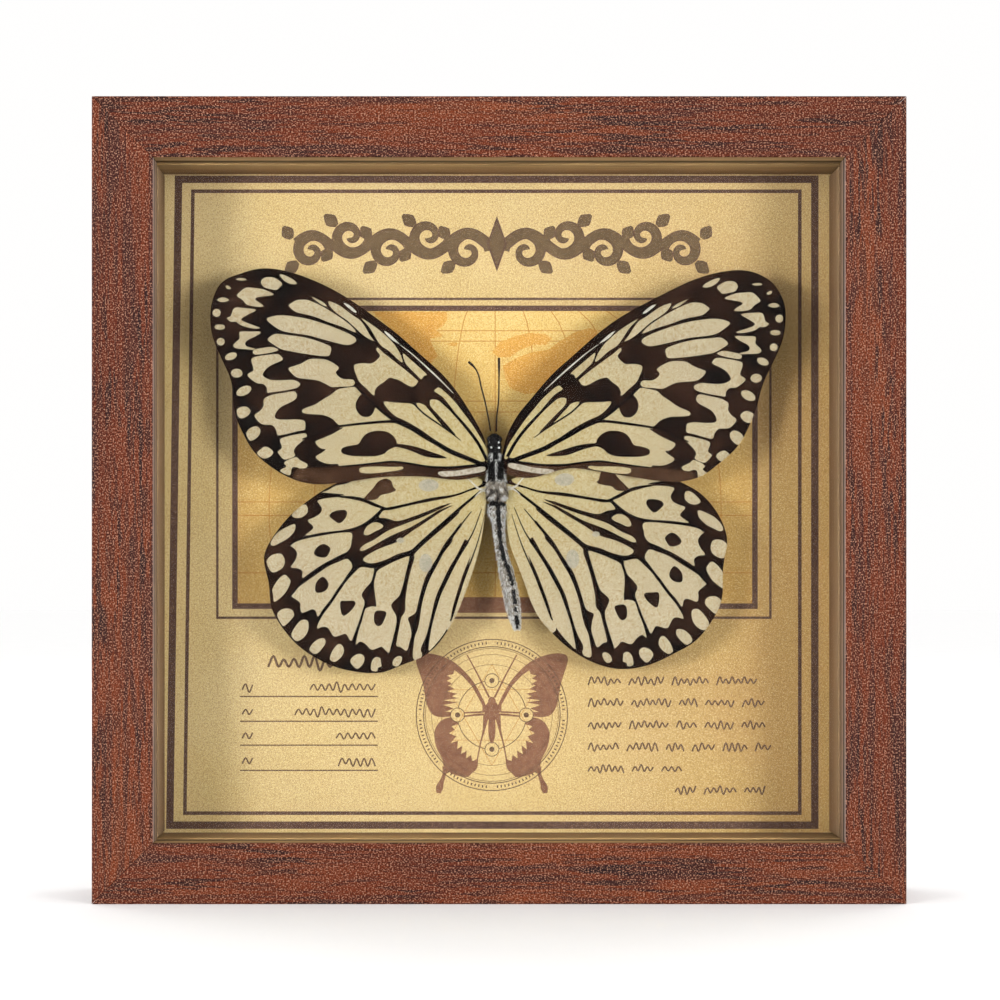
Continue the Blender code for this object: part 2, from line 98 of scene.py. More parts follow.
FOREWING_LEFT = [
    (-1.7, 2.6), (-2.1, 4.6), (-2.7, 6.8), (-3.9, 9.2), (-5.7, 12.3), (-8.6, 16.7), (-12.1, 20.9),
    (-17.8, 26.0), (-23.6, 31.0), (-34.4, 38.6),
    (-43.7, 43.0), (-51.7, 44.7), (-57.9, 43.4), (-62.1, 41.2), (-64.2, 36.3), (-64.2, 30.3),
    (-62.3, 25.1), (-59.8, 19.3), (-59.0, 12.5), (-57.3, 7.8), (-53.8, 2.3), (-47.1, -2.4),
    (-40.9, -4.1), (-34.0, -3.6), (-25.9, -2.5), (-16.7, -2.3), (-8.7, -3.1), (-3.0, -2.2), (-1.7, -1.8),
]
FOREWING_RIGHT = [
    (1.6, 2.4), (1.8, 3.8), (2.3, 5.9), (3.4, 8.7), (5.3, 11.9), (7.7, 14.8), (12.5, 20.4),
    (17.1, 24.6), (26.3, 32.4), (36.0, 37.9),
    (46.4, 42.7), (55.5, 44.3), (61.6, 42.2), (64.6, 38.4), (65.6, 33.8), (64.6, 27.5), (60.7, 19.0),
    (58.8, 12.5), (55.2, 5.0), (50.1, 0.2), (45.5, -2.7), (38.4, -3.5), (24.0, -1.3), (16.5, -0.5),
    (8.4, -2.6), (3.0, -2.0), (1.8, -1.6),
]
HINDWING_LEFT = [
    (-1.9, -3.6), (-9.0, -0.8), (-19.0, 0.3), (-28.5, -1.0), (-36.7, -4.2), (-42.3, -7.7),
    (-46.9, -11.6), (-50.8, -16.7), (-52.4, -20.9), (-51.3, -26.6), (-50.6, -32.4), (-47.1, -38.1),
    (-42.5, -42.3), (-35.6, -45.7), (-27.0, -46.9), (-20.8, -44.9), (-15.1, -42.3), (-10.9, -37.4),
    (-7.5, -30.5), (-4.2, -20.9), (-2.7, -13.8), (-2.2, -9.3), (-1.9, -6.0),
]
HINDWING_RIGHT = [
    (2.2, -3.4), (10.0, -1.0), (18.0, 1.0), (28.0, 1.0), (36.0, -0.8), (42.5, -3.8), (46.9, -6.5),
    (50.6, -11.1), (52.5, -16.3), (51.9, -20.9), (51.5, -24.3), (51.4, -29.6), (49.7, -34.0),
    (45.7, -39.3), (40.4, -42.5), (34.9, -45.0), (29.0, -46.0), (23.6, -45.0), (18.5, -42.5),
    (13.9, -38.8), (9.3, -33.3), (6.0, -24.8), (3.9, -19.4), (2.9, -15.6), (2.5, -11.5), (2.3, -7.0),
]
# round markings: centre x, centre z, half width, half height, tilt in degrees
FOREWING_SPOTS = [
    (-63.0, 34.6, 0.9, 0.9, 0), (-62.3, 31.4, 1.2, 0.6, 0), (-62.1, 28.1, 0.9, 0.85, 0),
    (-59.8, 24.8, 1.4, 0.8, 20), (-58.5, 21.0, 1.3, 1.0, 0), (-56.9, 17.0, 1.8, 1.0, 25),
]
HINDWING_OVALS = [(-15.1, -4.3, 2.3, 1.4, 0), (-21.5, -16.8, 0.9, 0.6, 0), (-15.8, -21.9, 1.5, 2.1, 0)]
HINDWING_PATCH = [
    (-29.3, -6.7), (-27.5, -4.7), (-26.6, -3.5), (-25.0, -2.8), (-23.6, -3.3), (-23.1, -4.7),
    (-22.5, -5.4), (-24.0, -6.1), (-25.9, -6.5), (-26.8, -7.4), (-28.7, -7.7), (-29.8, -7.4),
]
FOREWING_ROOT = [
    (-11.5, 14.0), (-10.2, 12.8), (-7.9, 10.3), (-5.4, 7.3), (-3.5, 4.5), (-2.2, 1.6), (-3.3, 1.0),
    (-5.2, 1.4), (-8.2, 2.6), (-9.5, 3.6), (-9.0, 6.5), (-9.6, 8.6), (-11.6, 11.0), (-12.4, 13.0),
]
HINDWING_ROOT = [
    (1.5, -4.6), (-4.5, -5.2), (-9.0, -7.0), (-9.9, -7.9), (-12.6, -9.0), (-9.9, -8.3), (-12.6, -9.85),
    (-9.8, -8.85), (-8.0, -9.5), (-8.6, -12.0), (-7.6, -13.2), (-7.4, -16.2), (-6.2, -17.0),
    (-5.6, -20.5), (-8.6, -31.0), (-11.0, -36.5), (-9.0, -37.5), (-4.0, -30.0), (0.0, -20.0),
    (1.5, -14.0),
]
FOREWING_CREAM = {
    "root": FOREWING_ROOT,
    "apex_slit": [(-58.7, 42.2), (-57.5, 42.5), (-56.2, 42.1), (-57.5, 41.9)],
    "apex_dash": [(-61, 40.6), (-60.5, 40.8), (-59.7, 40.1), (-60.6, 40)],
    "edge_1": [(-62.9, 37.5), (-61.6, 38.1), (-60.2, 37.5), (-61.6, 37)],
    "edge_8": [(-58.5, 12.3), (-58.1, 13.1), (-56.6, 13.5), (-55.6, 12.9), (-55.4, 12.3), (-56, 11.4),
        (-57.2, 10.8), (-58.1, 11.1)],
    "edge_9": [(-56.3, 7.5), (-55.6, 8.5), (-54.1, 9), (-53.2, 8.3), (-53.3, 7.3), (-54.1, 6.3),
        (-55.4, 5.7), (-56.1, 6.6)],
    "edge_10": [(-53.9, 2.9), (-53.1, 3.8), (-52, 4.4), (-50.6, 3.7), (-50.3, 2.9), (-51, 2.1),
        (-52.2, 1.7), (-53.2, 2.1)],
    "outer_0": [(-48.8, 43.3), (-47.6, 43.1), (-45.8, 42.2), (-44.9, 41.2), (-46.4, 41.2), (-48, 42.1)],
    "outer_1": [(-53, 41.6), (-52.3, 42.5), (-50.8, 42.7), (-49.5, 42.3), (-48.2, 41.2), (-49, 40.2),
        (-49.6, 39.8), (-51.3, 40.1), (-52.4, 40.5)],
    "outer_2": [(-56.4, 40.3), (-54.5, 40.2), (-52.4, 39.9), (-50.1, 38.8), (-52, 38.4), (-53.8, 38.1),
        (-54.3, 37.6), (-53.4, 37), (-52.4, 36.1), (-53.8, 36), (-56.1, 36.4), (-57.1, 37.5),
        (-58.3, 38.3), (-58.1, 39)],
    "outer_3": [(-59, 35.7), (-56.8, 35.7), (-54.1, 35.3), (-55.6, 34.4), (-57.5, 33.2), (-56.3, 32.4),
        (-54.7, 31.8), (-53.2, 31.2), (-54.9, 31.1), (-57.5, 31.8), (-58.6, 32.6), (-59.8, 32.6),
        (-60.7, 33.4), (-59.8, 33.9)],
    "outer_4": [(-57.8, 30.3), (-55.6, 30.4), (-53, 30.3), (-54.3, 29.3), (-56, 28.5), (-56.6, 27.7),
        (-56.1, 27), (-54.5, 26.6), (-54.7, 26.3), (-56.3, 26.4), (-58.6, 26.6), (-59.3, 27.3),
        (-58.6, 28.1), (-57.8, 28.9)],
    "outer_4_low": [(-54.5, 26.3), (-52, 26.8), (-50.5, 26.9), (-49.1, 26.3), (-50.6, 25.7),
        (-53.8, 25.2), (-54.8, 25.5)],
    "outer_5": [(-55.2, 24.1), (-53.8, 24.8), (-51.7, 25.1), (-49.2, 25.3), (-48.2, 24.5),
        (-48.3, 23.9), (-49.9, 23.2), (-51.5, 22.3), (-52.6, 20.9), (-52.3, 20.2), (-50.8, 19.5),
        (-48.3, 19.4), (-45.7, 19.5), (-44.2, 18.7), (-44.8, 17.8), (-47.1, 17.2), (-50.6, 16.7),
        (-51.6, 16.7), (-51.7, 17.7), (-52.6, 18.6), (-54.1, 18.8), (-56, 20.4), (-55.6, 21.1),
        (-54.7, 21.8)],
    "outer_6": [(-52.4, 15.1), (-50.6, 16.1), (-47.8, 16.6), (-45.5, 16.9), (-44.9, 15.8),
        (-45.5, 14.9), (-47.1, 14.1), (-48.5, 13.4), (-49.5, 12.3), (-49.9, 11.2), (-49.2, 10.6),
        (-47.1, 10.5), (-44.8, 10.6), (-43.2, 10.2), (-43, 9.3), (-43.2, 8.2), (-44.8, 7.9),
        (-47.1, 7.3), (-49.2, 7), (-49.6, 8.2), (-50.6, 9.3), (-52.9, 9.5), (-54.5, 11.4),
        (-53.3, 12.4), (-52.4, 13.7)],
    "outer_7": [(-48.7, 6), (-47.1, 6.7), (-44.8, 7.2), (-43, 7.4), (-42.7, 6.5), (-43.9, 5.5),
        (-45, 4.5), (-45.6, 3.4), (-45.3, 2.5), (-46, 1.9), (-47.8, 1.5), (-49, 2.8), (-49.2, 3.3),
        (-48.3, 4.2)],
    "tornus": [(-47.8, 0.7), (-46.7, 1.5), (-45, 2), (-44.2, 1.3), (-42.5, 0.4), (-43, -0.5),
        (-43.9, -0.8), (-44.8, -0.3), (-46, -0.4), (-46.4, -2), (-47.6, -1.8), (-48.7, -1),
        (-47.3, -0.1)],
    "middle_0": [(-41.6, 38.3), (-40.2, 37.7), (-38.8, 36.9), (-38.1, 36.1), (-39.3, 36.5),
        (-40.7, 37.5)],
    "middle_1": [(-46.7, 36.2), (-46.2, 36.8), (-45, 37.5), (-43.9, 37.6), (-42.3, 37.5), (-39.5, 36.3),
        (-36.8, 34.7), (-34.4, 33.1), (-32.6, 31.7), (-31.5, 30.3), (-32.6, 30.6), (-34.9, 31.6),
        (-37.9, 32.6), (-40.9, 33.8), (-43.9, 34.5), (-45.3, 34.9)],
    "middle_1_inner": [(-37.8, 37.2), (-36.5, 36.9), (-35.1, 36.2), (-33.7, 35.2), (-32.1, 34),
        (-30.5, 32.9), (-29.3, 31.2), (-28.4, 29.6), (-27.5, 28.3), (-29.6, 29.4), (-31.6, 31.2),
        (-33.7, 33.1), (-35.1, 34), (-37, 35.6)],
    "middle_2": [(-51.7, 33.1), (-50.6, 33.8), (-48.5, 34.1), (-46, 33.9), (-42.5, 33.3), (-39.1, 32.3),
        (-35.8, 31.1), (-33.5, 30.1), (-31.9, 29.2), (-31.5, 28.4), (-32.1, 27.8), (-33.5, 27.4),
        (-35.6, 27.8), (-39.1, 28.7), (-42.5, 29.6), (-46, 30.1), (-48.3, 30.6), (-49.9, 31.5)],
    "middle_3": [(-51.5, 28.5), (-50.6, 29.5), (-49.4, 29.9), (-46.7, 29.6), (-43.7, 29.2),
        (-40.9, 28.5), (-38.4, 27.6), (-37.2, 26.9), (-37.3, 25.7), (-37.9, 24.9), (-40.2, 25),
        (-43.7, 25.5), (-46.4, 26), (-48.3, 26.4), (-49.9, 27.3)],
    "middle_4": [(-46.8, 22), (-45.3, 22.7), (-43.7, 23.3), (-42.3, 24.1), (-40.7, 24.3), (-38.4, 24.1),
        (-36.5, 23.2), (-35.4, 22.2), (-36.1, 21.3), (-35.6, 20.4), (-34.4, 19.7), (-32.4, 19.6),
        (-31.8, 18.8), (-32.6, 18.1), (-34.9, 18), (-37, 17.9), (-38.4, 18.6), (-40.2, 19.4),
        (-42.5, 19.7), (-45, 20.1)],
    "costal_1": [(-30.3, 33.4), (-29.3, 32.9), (-27.5, 31.7), (-25.2, 29.9), (-23.1, 27.8), (-22, 26.2),
        (-21.3, 24.8), (-21, 23.5), (-22, 24.1), (-24, 26), (-25.9, 27.3), (-27, 28.9), (-28, 30.6),
        (-28.9, 31.9)],
    "costal_2": [(-20.9, 25.5), (-19.4, 24.3), (-17.6, 22.7), (-15.5, 20.7), (-16.3, 20.3),
        (-16.7, 19.6), (-17.6, 20.4), (-19.2, 22), (-20.4, 23.4)],
    "costal_streak": [(-13.9, 17.1), (-12.8, 17.8), (-11.1, 16.5), (-9.3, 14.7), (-7.5, 12.4),
        (-5.4, 9.6), (-3.5, 6.6), (-1.9, 3.8), (-1.2, 1.1), (-1.9, 0.9), (-2.9, 2.7), (-4.5, 5.2),
        (-6.3, 8), (-8.6, 11.4), (-10.7, 14.2), (-12.1, 15.8)],
    "middle_5": [(-43.5, 12.9), (-40.9, 13.9), (-39, 15.1), (-37, 16.3), (-35.8, 17.3), (-34, 17.7),
        (-31.6, 17.8), (-29.8, 15.6), (-27.3, 13.7), (-25.2, 12.1), (-23.4, 10.6), (-25.9, 10.2),
        (-30.5, 9.7), (-35.1, 9.1), (-35.1, 9), (-36.1, 9.9), (-37, 10.8), (-39.1, 11.6), (-40.9, 11.7),
        (-43.4, 12)],
    "cell_end": [(-32, 22.7), (-30.3, 23.3), (-28.2, 23.2), (-27, 23.9), (-26.1, 25), (-26.9, 26.2),
        (-26.6, 26.8), (-25.4, 25.7), (-23.6, 24.3), (-22.2, 23.2), (-20.4, 21.8), (-18.5, 20.2),
        (-17.3, 19), (-17.8, 18.4), (-19, 18), (-20.4, 18.6), (-21.5, 19.3), (-22.7, 19.7), (-24, 20),
        (-25.2, 19), (-26.6, 18.1), (-27.2, 17.2), (-27.5, 16), (-29.3, 17.7), (-30.7, 19),
        (-31.4, 20.4)],
    "cell_low": [(-25.2, 14.6), (-23.1, 14.4), (-20.8, 14.3), (-19, 14.1), (-17.6, 13.2), (-16.2, 11.9),
        (-14.4, 10.5), (-12.5, 9.1), (-10.7, 7.8), (-8.6, 6.4), (-7.5, 5.5), (-6.1, 4.5), (-4.5, 2.9),
        (-3.1, 1.3), (-5.2, 1.5), (-8.2, 2.7), (-10.7, 4.1), (-13, 5.5), (-15.5, 7.3), (-17.6, 8.7),
        (-20.4, 10.3), (-22.7, 11.4), (-24.5, 13.1)],
    "cell_mid": [(-17.9, 14.2), (-15.8, 13.7), (-13.7, 11.4), (-12.1, 9.4), (-10.7, 8), (-7.8, 5.8),
        (-10.7, 7.6), (-13.2, 9.6), (-16, 11.7)],
    "cell_top": [(-14.8, 14.9), (-13, 14.9), (-10.9, 13.1), (-8.6, 10.3), (-6.3, 7.3), (-4.5, 4.8),
        (-3.1, 2), (-5.2, 4.1), (-7.5, 5.7), (-9.1, 7.3), (-11.1, 9.6), (-13.2, 11.9), (-14.6, 13.5)],
    "rear_cell": [(-40.7, 5.5), (-39.7, 4.1), (-38.4, 3.8), (-39.5, 2.9), (-40.6, 2.2), (-40, 1.3),
        (-37.9, 0.5), (-35.6, 0.5), (-35.1, 0), (-30.5, 0.5), (-25.9, 1), (-23.1, 1.1), (-19, 0.6),
        (-15.5, 0), (-12.1, -0.2), (-9.8, -0.2), (-6.3, 0.2), (-2.9, 0.4), (-5.2, 1.1), (-8.2, 2.1),
        (-10.7, 3.2), (-13, 4.5), (-16.2, 6.4), (-19, 8), (-22.7, 9.7), (-28.2, 9.5), (-35.1, 8.8),
        (-34.4, 8.7), (-35.6, 8), (-37, 7.2), (-39.1, 6.3)],
}
# the brown band along the forewing's rear edge, and the cream patch on it
ANAL_BAND = [
    (-45.0, -0.6), (-35.1, 0.0), (-30.5, 0.4), (-25.9, 0.9), (-23.1, 1.0), (-19.0, 0.5), (-15.5, -0.1),
    (-9.5, -0.3), (-6.5, 0.0), (-2.0, 0.5), (-2.0, -3.2), (-9.0, -3.4), (-17.0, -3.0), (-26.0, -3.0),
    (-34.0, -4.0), (-41.0, -4.6), (-46.0, -3.0),
]
ANAL_PATCH = [
    (-30.7, -1.2), (-30.5, -0.4), (-28.2, -0.1), (-25.4, -0.1), (-22.7, -0.2), (-21.3, -0.1),
    (-20.8, -0.5), (-22.2, -1), (-24, -1.2), (-27, -1.6), (-29.8, -1.6),
]
FOREWING_DARK = {
    "cell_bar": [(-27.2, 17.2), (-26.6, 18.1), (-25.2, 19), (-23.6, 19.8), (-22.2, 19.6), (-20.8, 18.6),
        (-19.2, 18), (-18.1, 18.2), (-17.6, 19), (-16.7, 19.6), (-16.3, 20.3), (-15.5, 20.5),
        (-14.4, 19.7), (-13, 18.8), (-13, 17.9), (-13.9, 17.1), (-14.4, 16), (-14.9, 15.4),
        (-14.8, 14.2), (-15.5, 14.4), (-18.1, 14.4), (-20.4, 14.4), (-22.2, 14.8), (-24.7, 14.8),
        (-26.3, 15.4), (-27.3, 16.3)],
    "middle_5_spot": [(-31.6, 14.2), (-30.5, 16.1), (-28.4, 16.5), (-27, 15.1), (-27.2, 13.1),
        (-28.2, 11.4), (-30, 11.2), (-31.3, 12.4)],
    "rear_cell_spot": [(-34.9, 3.5), (-34.4, 4.2), (-32.6, 4.7), (-31, 5), (-30.1, 6.4), (-28.9, 7.5),
        (-27, 8), (-25, 7.9), (-23.4, 7.1), (-22.4, 5.8), (-22.2, 5.1), (-20.4, 4.9), (-17.6, 4.3),
        (-14.4, 3.2), (-11.8, 2.3), (-11, 1.8), (-13.2, 1.8), (-16, 2.2), (-19, 3.4), (-21.3, 4.1),
        (-22.7, 4.3), (-24.3, 3.6), (-25, 2.9), (-26.8, 2.3), (-28.7, 2.2), (-32.3, 2.3), (-34.4, 2.8)],
}
FOREWING_VEINS = {
    "discal": [(-31.4, 17.9), (-29.3, 15.8), (-25.9, 12.6), (-22.7, 10.3), (-19, 8.5), (-16.2, 6.8),
        (-13, 5), (-10.7, 3.6), (-8.2, 2.5), (-5.2, 1.3), (-1.9, -0.1)],
    "branch": [(-22.7, 10.3), (-28.2, 9.9), (-35.1, 9.1), (-37, 8.8), (-40.7, 7.1), (-43.7, 6.1)],
    "ray_1": [(-18.5, 14.2), (-16.2, 11.9), (-13.2, 9.8), (-10.7, 8), (-7.8, 5.8)],
    "ray_2": [(-15.5, 13.5), (-13.7, 11.4), (-12.1, 9.4), (-10.9, 8.2)],
    "radial": [(-12.5, 14.9), (-10.2, 12.8), (-7.9, 10.3), (-5.4, 7.3), (-3.5, 4.5), (-1.9, 1.3)],
    "anal_patch": [(-35.1, -0.1), (-30.5, 0.3), (-25.9, 0.8), (-23.1, 1), (-19, 0.5), (-15.5, -0.1),
        (-12.1, -0.3), (-9.8, -0.3), (-6.3, -0), (-1.9, 0.4)],
}
FOREWING_WHITE = {
    "sliver_1": [(-34.3, 36.9), (-33, 36.4), (-31.4, 34.9), (-32.1, 34.9), (-33.7, 36.2)],
    "sliver_2": [(-25.2, 30.6), (-24, 29.9), (-22.7, 28.7), (-21.7, 27.6), (-23.8, 28.9)],
    "sliver_3": [(-21.5, 27.4), (-19, 25.5), (-16.2, 23), (-13.2, 20.2), (-10.7, 17.7), (-9.5, 16.5)],
    "anal_streak": [(-12.8, -1.3), (-8.6, -1), (-5.2, -0.4), (-2.6, -0.1), (-2.2, -0.8), (-3.1, -1.3),
        (-6.3, -1.9), (-9.8, -2.3), (-12.1, -2.3)],
}
HINDWING_WHITE = [
    [(-6.6, -2.4), (-5.0, -3.9), (-3.9, -5.0), (-2.8, -5.3), (-1.9, -5.0)],
    [(-4.6, -6.9), (-3.4, -5.8), (-2.4, -5.5), (-1.6, -5.9)],
]
HINDWING_CREAM = {
    "root": HINDWING_ROOT,
    "front_sliver": [(-43.3, -3.3), (-41.4, -2.8), (-39.1, -2.3), (-37.7, -2.5), (-36.2, -2.8),
        (-36.8, -3.3), (-39.1, -3.8), (-41.8, -3.6)],
    "edge_1": [(-46.1, -11.1), (-45.3, -10), (-44.1, -8.9), (-43, -8.7), (-42.5, -9.5), (-42.7, -10.7),
        (-43.9, -11.6), (-45.3, -11.7)],
    "edge_2": [(-50.9, -17.6), (-50.3, -16.2), (-49, -14.8), (-47.1, -13.7), (-45.5, -13.1), (-45.3, -13.9),
        (-45.7, -15), (-47.1, -16.4), (-48.7, -17.3), (-50.1, -18)],
    "edge_3": [(-51.8, -21.8), (-51, -20.4), (-49.6, -19.8), (-48.3, -20), (-47.7, -21.3), (-47.9, -22.5),
        (-48.7, -23.4), (-50.6, -24)],
    "edge_4": [(-50.5, -27.8), (-49.2, -25.7), (-47.8, -24.6), (-46.9, -25.2), (-46.4, -26.1),
        (-46.9, -27.5), (-47.6, -28.7), (-48.7, -29.8), (-50.1, -30.7), (-50.3, -29.1)],
    "edge_5": [(-49.4, -33.7), (-48.7, -32.6), (-47.3, -32.2), (-46, -32.6), (-45.6, -33.7), (-46.4, -34.9),
        (-47.9, -36.2), (-48.7, -35.4)],
    "edge_6": [(-46.2, -38.1), (-45.3, -36.3), (-44, -34.9), (-42.7, -34.9), (-42.3, -35.8), (-42.5, -37.4),
        (-43.4, -38.8), (-44.8, -39.6), (-45.6, -39.3)],
    "edge_7": [(-42.1, -41.7), (-41.6, -40.4), (-40.2, -39.2), (-38.8, -39), (-38.5, -40), (-39.1, -41.1),
        (-40.2, -42.3), (-41.1, -42.5)],
    "edge_8": [(-37.5, -43.6), (-37, -42), (-35.8, -40.4), (-34.8, -40.5), (-34.3, -41.8), (-34.9, -43.2),
        (-36.3, -44.3), (-37.1, -44.1)],
    "edge_9": [(-32.9, -44.2), (-32.1, -43), (-30.7, -42.5), (-29.7, -43.2), (-29.9, -44.6), (-31, -45.8),
        (-31.9, -45.6)],
    "edge_10": [(-28.2, -45.9), (-28, -44.3), (-27.2, -43.3), (-26.1, -43.5), (-25.9, -44.6),
        (-25.8, -45.3), (-26.6, -45.7), (-26.8, -46.4), (-27.7, -46.4)],
    "edge_11": [(-23.3, -44.9), (-22.9, -43.6), (-21.9, -43), (-21.2, -43.3), (-21.3, -44.3),
        (-22.2, -45.4)],
    "front_cell": [(-39.3, -6.1), (-37.9, -5.4), (-36.1, -4.4), (-33.3, -3.8), (-30.5, -2.1),
        (-23.6, -1.2), (-14.4, -1), (-5.2, -1.7), (-2.9, -3.5), (-4.5, -4.8), (-9.1, -6.5),
        (-14.4, -7.3), (-19, -8.4), (-23.6, -9.4), (-25.4, -9.4), (-30.5, -7.3), (-35.1, -6.7),
        (-34.4, -6.5)],
    "cell_1": [(-40.2, -7.8), (-38.6, -7.3), (-35.6, -7), (-32.6, -7.2), (-35.1, -7), (-30.5, -7.9),
        (-27.5, -9.1), (-25.9, -9.7), (-27, -10.7), (-28.9, -12.3), (-31, -13.5), (-33.3, -14.2),
        (-35.1, -14.5), (-34.4, -14.5), (-39.1, -15), (-43, -15.7), (-41.8, -14.6), (-41.2, -13.7),
        (-42.5, -12.3), (-41.1, -11.6), (-39.7, -10.7), (-39.3, -9.5), (-40, -8.4)],
    "cell_2": [(-46.4, -17.9), (-44.8, -16.9), (-41.4, -16.1), (-36.8, -15.3), (-33.5, -14.9),
        (-32.4, -15.5), (-32.6, -16.9), (-32.8, -18.3), (-34, -19.7), (-36.1, -20.8), (-37.9, -21.5),
        (-40.2, -22.9), (-42.5, -24.5), (-43.7, -25.3), (-43.7, -23.8), (-44.8, -23.1), (-46.3, -22.9),
        (-45.3, -21.3), (-44.9, -19.7), (-45.7, -18.5)],
    "cell_3": [(-33.5, -21), (-32.4, -22.7), (-33.5, -24.5), (-34.4, -25.9), (-35.8, -27.8),
        (-37.4, -30.3), (-39.1, -32.4), (-40.2, -34.1), (-40.7, -32.8), (-41.6, -32.4), (-43.7, -33.2),
        (-44.2, -32.1), (-44.2, -31), (-45.3, -30.1), (-46.2, -29.3), (-45.3, -28), (-43.2, -26.4),
        (-40.9, -24.8), (-37.9, -22.7), (-35.6, -21.7)],
    "cell_4": [(-28.2, -23.1), (-27.5, -23.4), (-28, -25.9), (-29.3, -27.5), (-30.3, -29.1),
        (-29.7, -30.5), (-29.8, -31.9), (-30.7, -34.7), (-31.6, -37), (-32.6, -39.5), (-33.3, -38.8),
        (-33.9, -38), (-34.9, -38.2), (-36.5, -38.6), (-37.4, -37.4), (-38.1, -36.5), (-39.3, -36.4),
        (-40.4, -36.7), (-39.5, -34.2), (-37, -30.5), (-34.9, -27.8), (-34, -26.4), (-32.1, -24.3),
        (-30.5, -22.9)],
    "cell_5": [(-19.4, -20.4), (-19.9, -22.5), (-20.6, -25.5), (-21.2, -27.8), (-22, -29.8),
        (-23.6, -31.4), (-22.9, -33.1), (-22.4, -34.2), (-22.5, -36.3), (-22.9, -38.6), (-23.5, -40.9),
        (-24, -42.3), (-25, -41.6), (-25.9, -40.9), (-28, -41.6), (-29.3, -40.4), (-30.7, -39.7),
        (-31.6, -40.4), (-31, -37.4), (-30.1, -34.7), (-29.5, -32.4), (-28.2, -31.8), (-27, -31.4),
        (-27.2, -29.6), (-27.4, -27.8), (-27.4, -25.9), (-26.8, -23.8), (-24.7, -22.5), (-22.2, -21.3)],
    "cell_6": [(-4, -7), (-5.6, -9.7), (-7.5, -12.3), (-9.8, -15.3), (-11.8, -18), (-13.5, -21.2),
        (-14.4, -22.5), (-15.8, -25), (-16.7, -27.8), (-17.4, -30.5), (-17.9, -32.8), (-18.7, -33.7),
        (-19.8, -34.4), (-19.4, -35.8), (-19, -37.9), (-19.4, -39.7), (-20.1, -41.8), (-21.5, -40.9),
        (-22.4, -40.7), (-22.2, -38.8), (-21.7, -36.3), (-21.3, -34.2), (-20.4, -32.8), (-20.4, -30.5),
        (-20.1, -28.2), (-19.7, -25.9), (-19, -23.1), (-18.3, -20.8), (-18.1, -19.6), (-14.4, -16.2),
        (-10.9, -13.2), (-7.9, -10.4), (-5.2, -8.1)],
    "cell_7": [(-2.9, -6.5), (-3.5, -10), (-5.6, -14.8), (-7, -16.7), (-8.6, -19.9), (-10.5, -23.1),
        (-12.1, -26.4), (-13.5, -29.6), (-14.4, -33.3), (-15.1, -36.3), (-15.8, -38.8), (-16.7, -40.7),
        (-16.9, -41.8), (-16.6, -42.5), (-16.9, -43.4), (-18.1, -43.9), (-18.6, -43.5), (-18.7, -42.3),
        (-18.5, -40.9), (-18.3, -38.8), (-17.6, -37), (-17.1, -34.7), (-16.7, -31.7), (-15.8, -28.2),
        (-14.8, -25.5), (-13.2, -22.5), (-11.6, -19.5), (-9.8, -17.2), (-9.3, -15.7), (-4.9, -10)],
    "cell_8": [(-2.6, -9.1), (-2.7, -12.3), (-3.8, -16), (-4.5, -17.9), (-6.8, -23.1), (-8.2, -27.1),
        (-9.5, -31.4), (-10.2, -34.7), (-10.7, -36.3), (-12.1, -38.6), (-14.4, -41.3), (-15.1, -41.6),
        (-14.8, -38.8), (-14.3, -35.8), (-13.5, -32.8), (-12.5, -29.6), (-11.1, -26.6), (-9.3, -22.9),
        (-7.5, -19.7), (-5.9, -17.2), (-4.9, -15.5), (-3, -10.2)],
    "cell_9": [(-3.2, -16.9), (-5.2, -23.1), (-7, -28), (-8.6, -32.4), (-10, -35.1), (-9.1, -32.4),
        (-7.7, -28.2), (-6.3, -24.3), (-4.5, -18.8)],
    "discal_front": [(-25.2, -10), (-23.6, -9.9), (-19, -8.8), (-14.4, -7.9), (-9.8, -7), (-5.2, -5.6),
        (-7.5, -7), (-9.8, -7.9), (-12.1, -8.8), (-15.5, -10.2), (-19, -11.5), (-22.2, -12.4),
        (-24.5, -11.8), (-26.3, -11.6), (-25.9, -10.7)],
    "discal_middle": [(-30.7, -19), (-29.8, -17.8), (-27.5, -16.7), (-24.7, -14.8), (-22.2, -13.7),
        (-19, -12.5), (-15.5, -11.1), (-12.1, -9.5), (-9.8, -8.4), (-12.1, -9.5), (-15.5, -11.6),
        (-19, -13.7), (-23.6, -15.7), (-27, -17.6), (-29.6, -19)],
    "discal_rear": [(-29.9, -21.3), (-29.1, -20.2), (-25.9, -18.5), (-22.4, -17.2), (-19, -14.8),
        (-15.5, -12.5), (-12.1, -10.2), (-9.1, -8.6), (-4.2, -5.8), (-6.3, -8.1), (-9.8, -10.9),
        (-13.2, -13.9), (-15.8, -16.7), (-17.6, -17.8), (-19.2, -19), (-22.2, -19.9), (-24.7, -21.1),
        (-28, -22)],
    "discal_lens": [(-29.8, -15.3), (-29.3, -13.9), (-28.2, -13), (-26.8, -12.7), (-25.4, -13.4),
        (-25.9, -14.1), (-27.3, -14.8), (-28.9, -15.6)],
}
